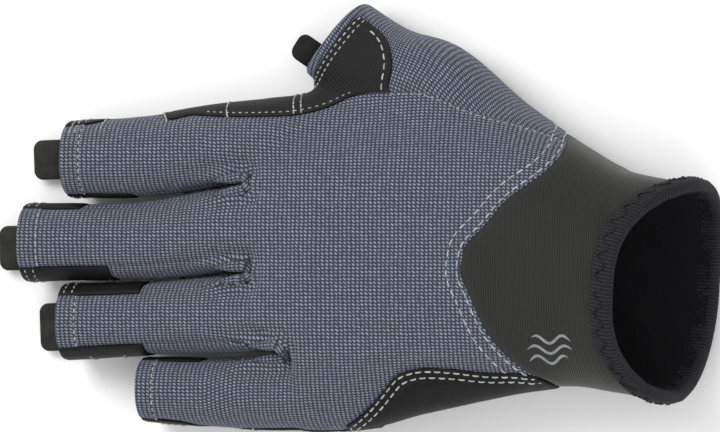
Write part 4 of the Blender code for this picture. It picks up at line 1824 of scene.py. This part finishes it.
@dataclass
class Cuff:
    """The taped edge at the wrist and the lining inside it."""

    hand: Tube
    zone: Zone = ZONES["heel"]
    zigzag_pitch: float = 5.6

    def place(self, turn: Array, ahead: Array | float, grow: Array | float) -> Array:
        """Points near the cuff's edge.

        Args:
            turn: the turns round the cuff, in degrees.
            ahead: how far past the edge, along the glove.
            grow: how far outside the neoprene's outer face.

        Returns:
            Rows of x, y and z.
        """
        at = cuff_end(turn) + ahead
        return self.hand.point(at, turn, grow)

    def turns(self, count: int) -> tuple[Array, Array]:
        """Turns spaced evenly round the edge.

        Args:
            count: how many.

        Returns:
            The turns, and how far along the edge each one is.
        """
        fine = np.linspace(0, 360, 1441)
        ring = self.place(fine, 0.0, 0.0)
        length = np.concatenate([[0], np.cumsum(np.linalg.norm(np.diff(ring, axis=0), axis=1))])
        at = np.linspace(0, length[-1], count, endpoint=False)
        return np.interp(at, length, fine), at

    def tape(self) -> bpy.types.Object:
        """The ribbed elastic tape folded over the edge."""
        outer = [(-5.9, 0.0), (-5.8, 0.55), (-5.2, 0.85), (-4, 0.95), (-2.4, 1.0), (-1.0, 0.95)]
        fold = [(0, 0.7), (0.7, 0.1), (0.95, -0.9), (0.8, -2.0), (0.2, -2.8), (-0.8, -3.15)]
        inner = [(-3, -3.25), (-5.2, -3.2), (-5.8, -3.0), (-5.9, -2.6)]
        hollow = [(-0.6, -2.5), (-0.2, -1.2), (-0.6, 0.0)]
        profile = outer + fold + inner + hollow
        turn, at = self.turns(420)
        wave = 0.10 * np.sin(at * 0.9) + 0.08 * np.sin(at * 0.37 + 1)
        rings = []
        for ahead, grow in profile:
            worn = grow > 0.5 or grow < -2.7
            rings.append(self.place(turn, ahead, grow + (wave if worn else 0)))
        rings = np.stack(rings, axis=1)
        n, m = rings.shape[:2]
        a = (np.arange(n)[:, None] * m + np.arange(m)[None]).ravel()
        b = (np.arange(n)[:, None] * m + (np.arange(m)[None] + 1) % m).ravel()
        faces = np.stack([a, b, (b + m) % (n * m), (a + m) % (n * m)], axis=1)
        girth = np.concatenate([[0], np.cumsum(np.hypot(*np.diff(np.array(profile), axis=0).T))])
        uv = np.stack([np.repeat(at, m), np.tile(girth, n)], axis=1)
        obj = mesh_piece("cuff_tape", rings.reshape(-1, 3), faces, ELASTIC, uv)
        self.zone.place(obj)
        return obj

    def lining(self) -> bpy.types.Object:
        """The dark cloth that lines the wrist."""
        turn, at = self.turns(200)
        depths = np.linspace(0, 1, 34)
        rows = []
        for share in depths:
            x = 26 + (cuff_end(turn) - 1.5 - 26) * share
            rows.append(self.hand.point(x, turn, -2.75 + 0.12 * np.sin(x * 0.5 + at * 0.3)))
        rings = np.stack(rows, axis=1)
        n, m = rings.shape[:2]
        index = np.arange(n * m).reshape(n, m)
        near, far = index, np.roll(index, -1, axis=0)
        quads = np.stack([near[:, :-1], near[:, 1:], far[:, 1:], far[:, :-1]], axis=-1).reshape(-1, 4)
        faces = np.concatenate([quads[:, [0, 2, 1]], quads[:, [0, 3, 2]]])
        points = rings.reshape(-1, 3)
        normals = Skin(points, faces).normals()
        if ((points[:, 1:] - points[:, 1:].mean(axis=0)) * normals[:, 1:]).sum() < 0:
            faces, normals = faces[:, ::-1], -normals
        place, faces, out, source = shell(points, faces, normals, np.full(len(points), 0.5))
        uv = np.stack([np.repeat(at, m), np.tile(depths * 70, n)], axis=1)
        obj = mesh_piece("cuff_lining_cloth", place, faces, LINING, uv[source], out)
        self.zone.place(obj)
        return obj

    def zigzag(self) -> bpy.types.Object:
        """The black zigzag through the tape, outside and inside."""
        runs = []
        turn, at = self.turns(2400)
        total = at[-1] + at[1]
        count = round(total / self.zigzag_pitch)
        phase = at / total * count % 1
        swing = np.abs(phase * 2 - 1) * 3.6 - 4.9
        for grow, sign in ((1.08, 1), (-3.33, -1)):
            line = self.place(turn, swing, grow)
            out = unit(self.place(turn, swing, grow + sign) - line)
            line = np.concatenate([line, line[:1]])
            out = np.concatenate([out, out[:1]])
            runs.append(spaced(line, out, ZIGZAG))
        starts, ends, out = (np.concatenate(rows) for rows in zip(*runs))
        points, faces, normals = stitches(starts, ends, out, ZIGZAG.radius)
        obj = mesh_piece("cuff_zigzag", points, faces, BLACK_THREAD, None, normals)
        self.zone.place(obj)
        return obj

    def build(self) -> list[bpy.types.Object]:
        """Makes the tape, the lining and the zigzag.

        Returns:
            The pieces.
        """
        return [self.tape(), self.lining(), self.zigzag()]


@dataclass
class PullTab:
    """A folded cloth tab at a stall's mouth, on a hinge of its own."""

    name: str
    hinge: tuple[float, float, float]
    ahead: tuple[float, float]
    width: float
    reach: float
    finish: Finish = TAB
    thick: float = 1.5
    corner: float = 2.8
    root: float = -2.5

    def build(self) -> bpy.types.Object:
        """Makes the tab as a rounded, slightly bowed strip."""
        ahead = np.array([*self.ahead, 0.0])
        side = np.array([-self.ahead[1], self.ahead[0], 0.0])
        outline = []
        half = self.width / 2
        centre = self.reach - self.corner
        for aside, start in ((half - self.corner, 90), (self.corner - half, 0)):
            for k in range(9):
                angle = math.radians(start - k * 11.25)
                c, s = math.cos(angle), math.sin(angle)
                outline.append((centre + self.corner * c, aside + self.corner * s))
        outline = [(self.root, half)] + outline + [(self.root, -half)]
        rings = []
        edge = ((0.9, 0.5), (0.35, 0.46), (0.08, 0.3), (0.0, 0.0), (0.08, -0.3), (0.35, -0.46), (0.9, -0.5))
        for inset, height in edge:
            ring = []
            for u, v in outline:
                scale = 1 - inset / half
                out = (u - self.root) * (1 - inset / self.reach) + self.root
                p = np.array(self.hinge) + ahead * out + side * v * scale
                p[2] += height * self.thick - 0.35 * math.cos(v / half * 1.3) + 0.35
                ring.append(p)
            rings.append(ring)
        points = np.array(rings).reshape(-1, 3)
        m = len(outline)
        faces = []
        for r in range(len(rings) - 1):
            for k in range(m):
                a, b = r * m + k, r * m + (k + 1) % m
                faces.append([a, a + m, b + m, b])
        last = (len(rings) - 1) * m
        for k in range(m // 2 - 1):
            a, b = k, m - 1 - k
            faces.append([a, a + 1, b - 1, b])
            faces.append([last + b, last + b - 1, last + a + 1, last + a])
        obj = mesh_piece(self.name + "_cloth", points, np.array(faces)[:, ::-1], self.finish)
        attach(obj, self.name)
        return obj


@dataclass
class WavePrint:
    """Three pale wave lines printed on the neoprene, laid just over its surface."""

    surface: BVHTree
    middle: tuple[float, float] = (53.5, -25.8)
    length: float = 15.0
    gap: float = 3.0
    wide: float = 0.4

    def build(self) -> bpy.types.Object:
        """Lays each line as a thin strip on the surface under it."""
        points, faces, out = [], [], []
        for row in (-1, 0, 1):
            start = len(points)
            count = 46
            for k in range(count):
                share = k / (count - 1)
                x = self.middle[0] + (share - 0.5) * self.length * (1 - 0.12 * abs(row)) + row * 0.8
                y = self.middle[1] + row * self.gap + 1.15 * math.sin(share * math.tau * 1.5 + row * 0.5)
                slope = 1.15 * math.cos(share * math.tau * 1.5 + row * 0.5) * math.tau * 1.5 / self.length
                across = np.array([-slope, 1.0]) / math.hypot(slope, 1)
                half = self.wide * min(1.0, 6 * share + 0.15, 6 * (1 - share) + 0.15)
                for side in (-1, 1):
                    px, py = x + across[0] * side * half, y + across[1] * side * half
                    place, normal, _, _ = self.surface.ray_cast(Vector((px, py, 80)), Vector((0, 0, -1)))
                    points.append(np.array(place) + np.array(normal) * 0.07)
                    out.append(np.array(normal))
            for k in range(count - 1):
                a = start + 2 * k
                faces.append([a, a + 2, a + 3])
                faces.append([a, a + 3, a + 1])
        points, faces, out = np.array(points), np.array(faces), np.array(out)
        place, faces, out, _ = shell(points, faces, out, np.full(len(points), 0.06))
        obj = mesh_piece("wave_print", place, faces, PRINT, None, out)
        ZONES["heel"].place(obj)
        return obj


@dataclass
class FoldedLip:
    """The rolled cloth round the inner end of a slit between two fingers."""

    name: str
    end: tuple[float, float]
    ahead: tuple[float, float]
    surface: BVHTree
    reach: float = 9.0
    gape: float = 2.1
    radius: float = 1.75

    def build(self) -> bpy.types.Object:
        """Sweeps a tapering roll round the slit's end, half sunk in the cloth."""
        count, sides = 64, 14
        run = np.linspace(-1, 1, count)
        straight = self.reach / (self.reach + math.pi * self.gape / 2)
        ahead, aside = np.array(self.ahead), np.array([-self.ahead[1], self.ahead[0]])
        path, size = [], []
        for share in run:
            side = 1 if share >= 0 else -1
            left = 1 - abs(share)
            if left < straight:
                forward, across = -self.reach * (1 - left / straight), self.gape
            else:
                angle = (left - straight) / (1 - straight) * math.pi / 2
                forward, across = self.gape * math.sin(angle), self.gape * math.cos(angle)
            plan = np.array(self.end) + ahead * forward + aside * across * side
            over = np.array(self.end) + ahead * forward + aside * (across + 1.4) * side
            hit, _, _, _ = self.surface.ray_cast(Vector((*over, 80)), Vector((0, 0, -1)))
            taper = min(1.0, 0.25 + 1.6 * left)
            path.append((*plan, hit.z - self.radius * taper * 0.42))
            size.append(self.radius * taper)
        path = np.array(path)
        for _ in range(4):
            path[1:-1] = (path[:-2] + 2 * path[1:-1] + path[2:]) / 4
        size = np.array(size)
        forward = unit(np.gradient(path, axis=0))
        level = unit(np.cross(forward, np.array([0.0, 0.0, 1.0])))
        up = np.cross(level, forward)
        rings, uv = [], []
        at = np.concatenate([[0], np.cumsum(np.linalg.norm(np.diff(path, axis=0), axis=1))])
        for k in range(sides):
            angle = k * math.tau / sides
            rings.append(path + (level * math.cos(angle) + up * math.sin(angle)) * size[:, None])
            uv.append(np.stack([at, np.full(count, angle * self.radius)], axis=1))
        points = np.stack(rings, axis=1).reshape(-1, 3)
        uv = np.stack(uv, axis=1).reshape(-1, 2)
        index = np.arange(count * sides).reshape(count, sides)
        a, b = index[:-1], np.roll(index[:-1], -1, axis=1)
        c, d = np.roll(index[1:], -1, axis=1), index[1:]
        faces = np.stack([a, d, c, b], axis=-1).reshape(-1, 4)
        caps = []
        for row, turned in ((index[0], False), (index[-1], True)):
            for k in range(1, sides // 2):
                cap = [row[k - 1], row[k], row[sides - k - 1], row[sides - k]]
                caps.append(cap[::-1] if turned else cap)
        obj = mesh_piece(self.name, points, np.concatenate([faces, np.array(caps)]), BLUE, uv)
        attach(obj, "knuckles")
        return obj


@dataclass
class Studio:
    """The camera, the floor and the soft light."""

    target: tuple[float, float, float] = (-13.0, 14.0, 20.0)
    tilt: float = math.radians(20)
    distance: float = 6000.0
    focal: float = 1000.0

    def build(self) -> None:
        """Sets the camera over the back of the hand, tilted to the wrist's side, and the lights."""
        scene = bpy.context.scene
        scene.view_settings.view_transform = "Standard"
        lens = bpy.data.cameras.new("view")
        lens.lens, lens.sensor_width = self.focal, 36.0
        lens.clip_start, lens.clip_end = 0.5, 20.0
        camera = bpy.data.objects.new("view", lens)
        aim = Vector((math.sin(self.tilt), 0, math.cos(self.tilt)))
        camera.location = (Vector(self.target) + aim * self.distance) * MM
        camera.rotation_euler = (0, self.tilt, 0)
        scene.collection.objects.link(camera)
        scene.camera = camera
        floor = bpy.data.meshes.new("floor")
        floor.from_pydata([(-2, -2, 0), (2, -2, 0), (2, 2, 0), (-2, 2, 0)], [], [(0, 1, 2, 3)])
        pale = bpy.data.materials.new("floor")
        pale.use_nodes = True
        shader = pale.node_tree.nodes["Principled BSDF"]
        shader.inputs["Base Color"].default_value = colour(246, 246, 246)
        shader.inputs["Roughness"].default_value = 0.9
        floor.materials.append(pale)
        ground = bpy.data.objects.new("floor", floor)
        scene.collection.objects.link(ground)
        world = bpy.data.worlds.new("studio")
        world.use_nodes = True
        world.node_tree.nodes["Background"].inputs[0].default_value = (1, 1, 1, 1)
        world.node_tree.nodes["Background"].inputs[1].default_value = 0.75
        scene.world = world
        for name, place, size, power in (
            ("key", (-0.5, 0.6, 0.9), 0.7, 9.0),
            ("fill", (0.7, -0.4, 0.8), 0.9, 4.0),
        ):
            light = bpy.data.lights.new(name, "AREA")
            light.size, light.energy = size, power
            lamp = bpy.data.objects.new(name, light)
            lamp.location = place
            lamp.rotation_euler = (-Vector(place)).to_track_quat("-Z", "Y").to_euler()
            scene.collection.objects.link(lamp)


def pull_tabs(form: GloveForm) -> list[PullTab]:
    """The four pull tabs, each in front of its stall's mouth."""
    tabs = []
    for name, width, reach, aside, z, finish, thick in (
        ("index", 12.0, 14.0, 0.3, 3.2, TAB, 1.5),
        ("middle", 13.5, 11.5, -1.6, 3.2, TAB, 1.5),
        ("ring", 14.5, 10.8, -1.4, 3.2, TAB, 1.5),
        ("thumb", 8.4, 10.5, -9.5, 6.5, THUMB_TAB, 1.1),
    ):
        tube = form.tubes[Digit(name)]
        tip = np.array([tube.sections[0][0]])
        side = tube.across(tip)[0]
        ahead = np.array([-side[1], side[0]])
        x, y = np.array([tip[0], tube.at(tip)[0][0]]) + ahead * 1.3 + side * aside
        tabs.append(PullTab(f"{name}_tab", (x, y, z), tuple(ahead), width, reach, finish, thick))
    return tabs


STANDS_FOR = {
    "hand_woven": ("back_panel",),
    "hand_leather": ("palm_panel",),
    "hand_pad": ("palm_patch",),
    "heel_neoprene": ("cuff_yoke", "cuff_sleeve"),
    "cuff_tape": ("cuff_binding",),
    "cuff_lining_cloth": ("cuff_lining",),
    "thumb_thumb": ("thumb_back", "thumb_hem"),
    "thumb_leather": ("thumb_palm",),
    "index_side": ("fourchette_index_middle",),
    "middle_side": ("fourchette_middle_ring",),
    "ring_side": ("fourchette_ring_little",),
}


def stand_in(frame: dict) -> None:
    """Hides the solids of the frame that the pieces stand for.
    """
    for name, nodes in STANDS_FOR.items():
        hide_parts(*nodes)
    for digit in FINGERS:
        finger = digit.value
        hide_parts(f"{finger}_back", f"{finger}_tip_back")
        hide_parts(f"{finger}_palm", f"{finger}_tip_wrap")
    for node in frame["nodes"]:
        if node.endswith("_tab"):
            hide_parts(node)


def main() -> None:
    """Builds the glove's classes in order; the patches, pads and threads log each piece."""
    logging.basicConfig(level=logging.INFO, format="%(name)s: %(message)s")
    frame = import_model()
    body = GloveSkin()
    coat = Coat(body)
    pieces = coat.build()
    needle = Needlework(body, coat)
    needle.rows()
    needle.bars()
    pieces += needle.build()
    pieces += Cuff(body.form.hand).build()
    pieces.append(WavePrint(needle.tree).build())
    for name, end, ahead in (
        ("lip_index_middle", (-49.6, 23.7), (0.99, 0.13)),
        ("lip_middle_ring", (-49.3, -3.0), (0.995, 0.07)),
        ("lip_ring_little", (-37.6, -26.7), (0.998, 0.05)),
    ):
        pieces.append(FoldedLip(name, end, ahead, needle.tree).build())
    for tab in pull_tabs(body.form):
        pieces.append(tab.build())
    stand_in(frame)
    Studio().build()


if __name__ == "__main__":
    main()
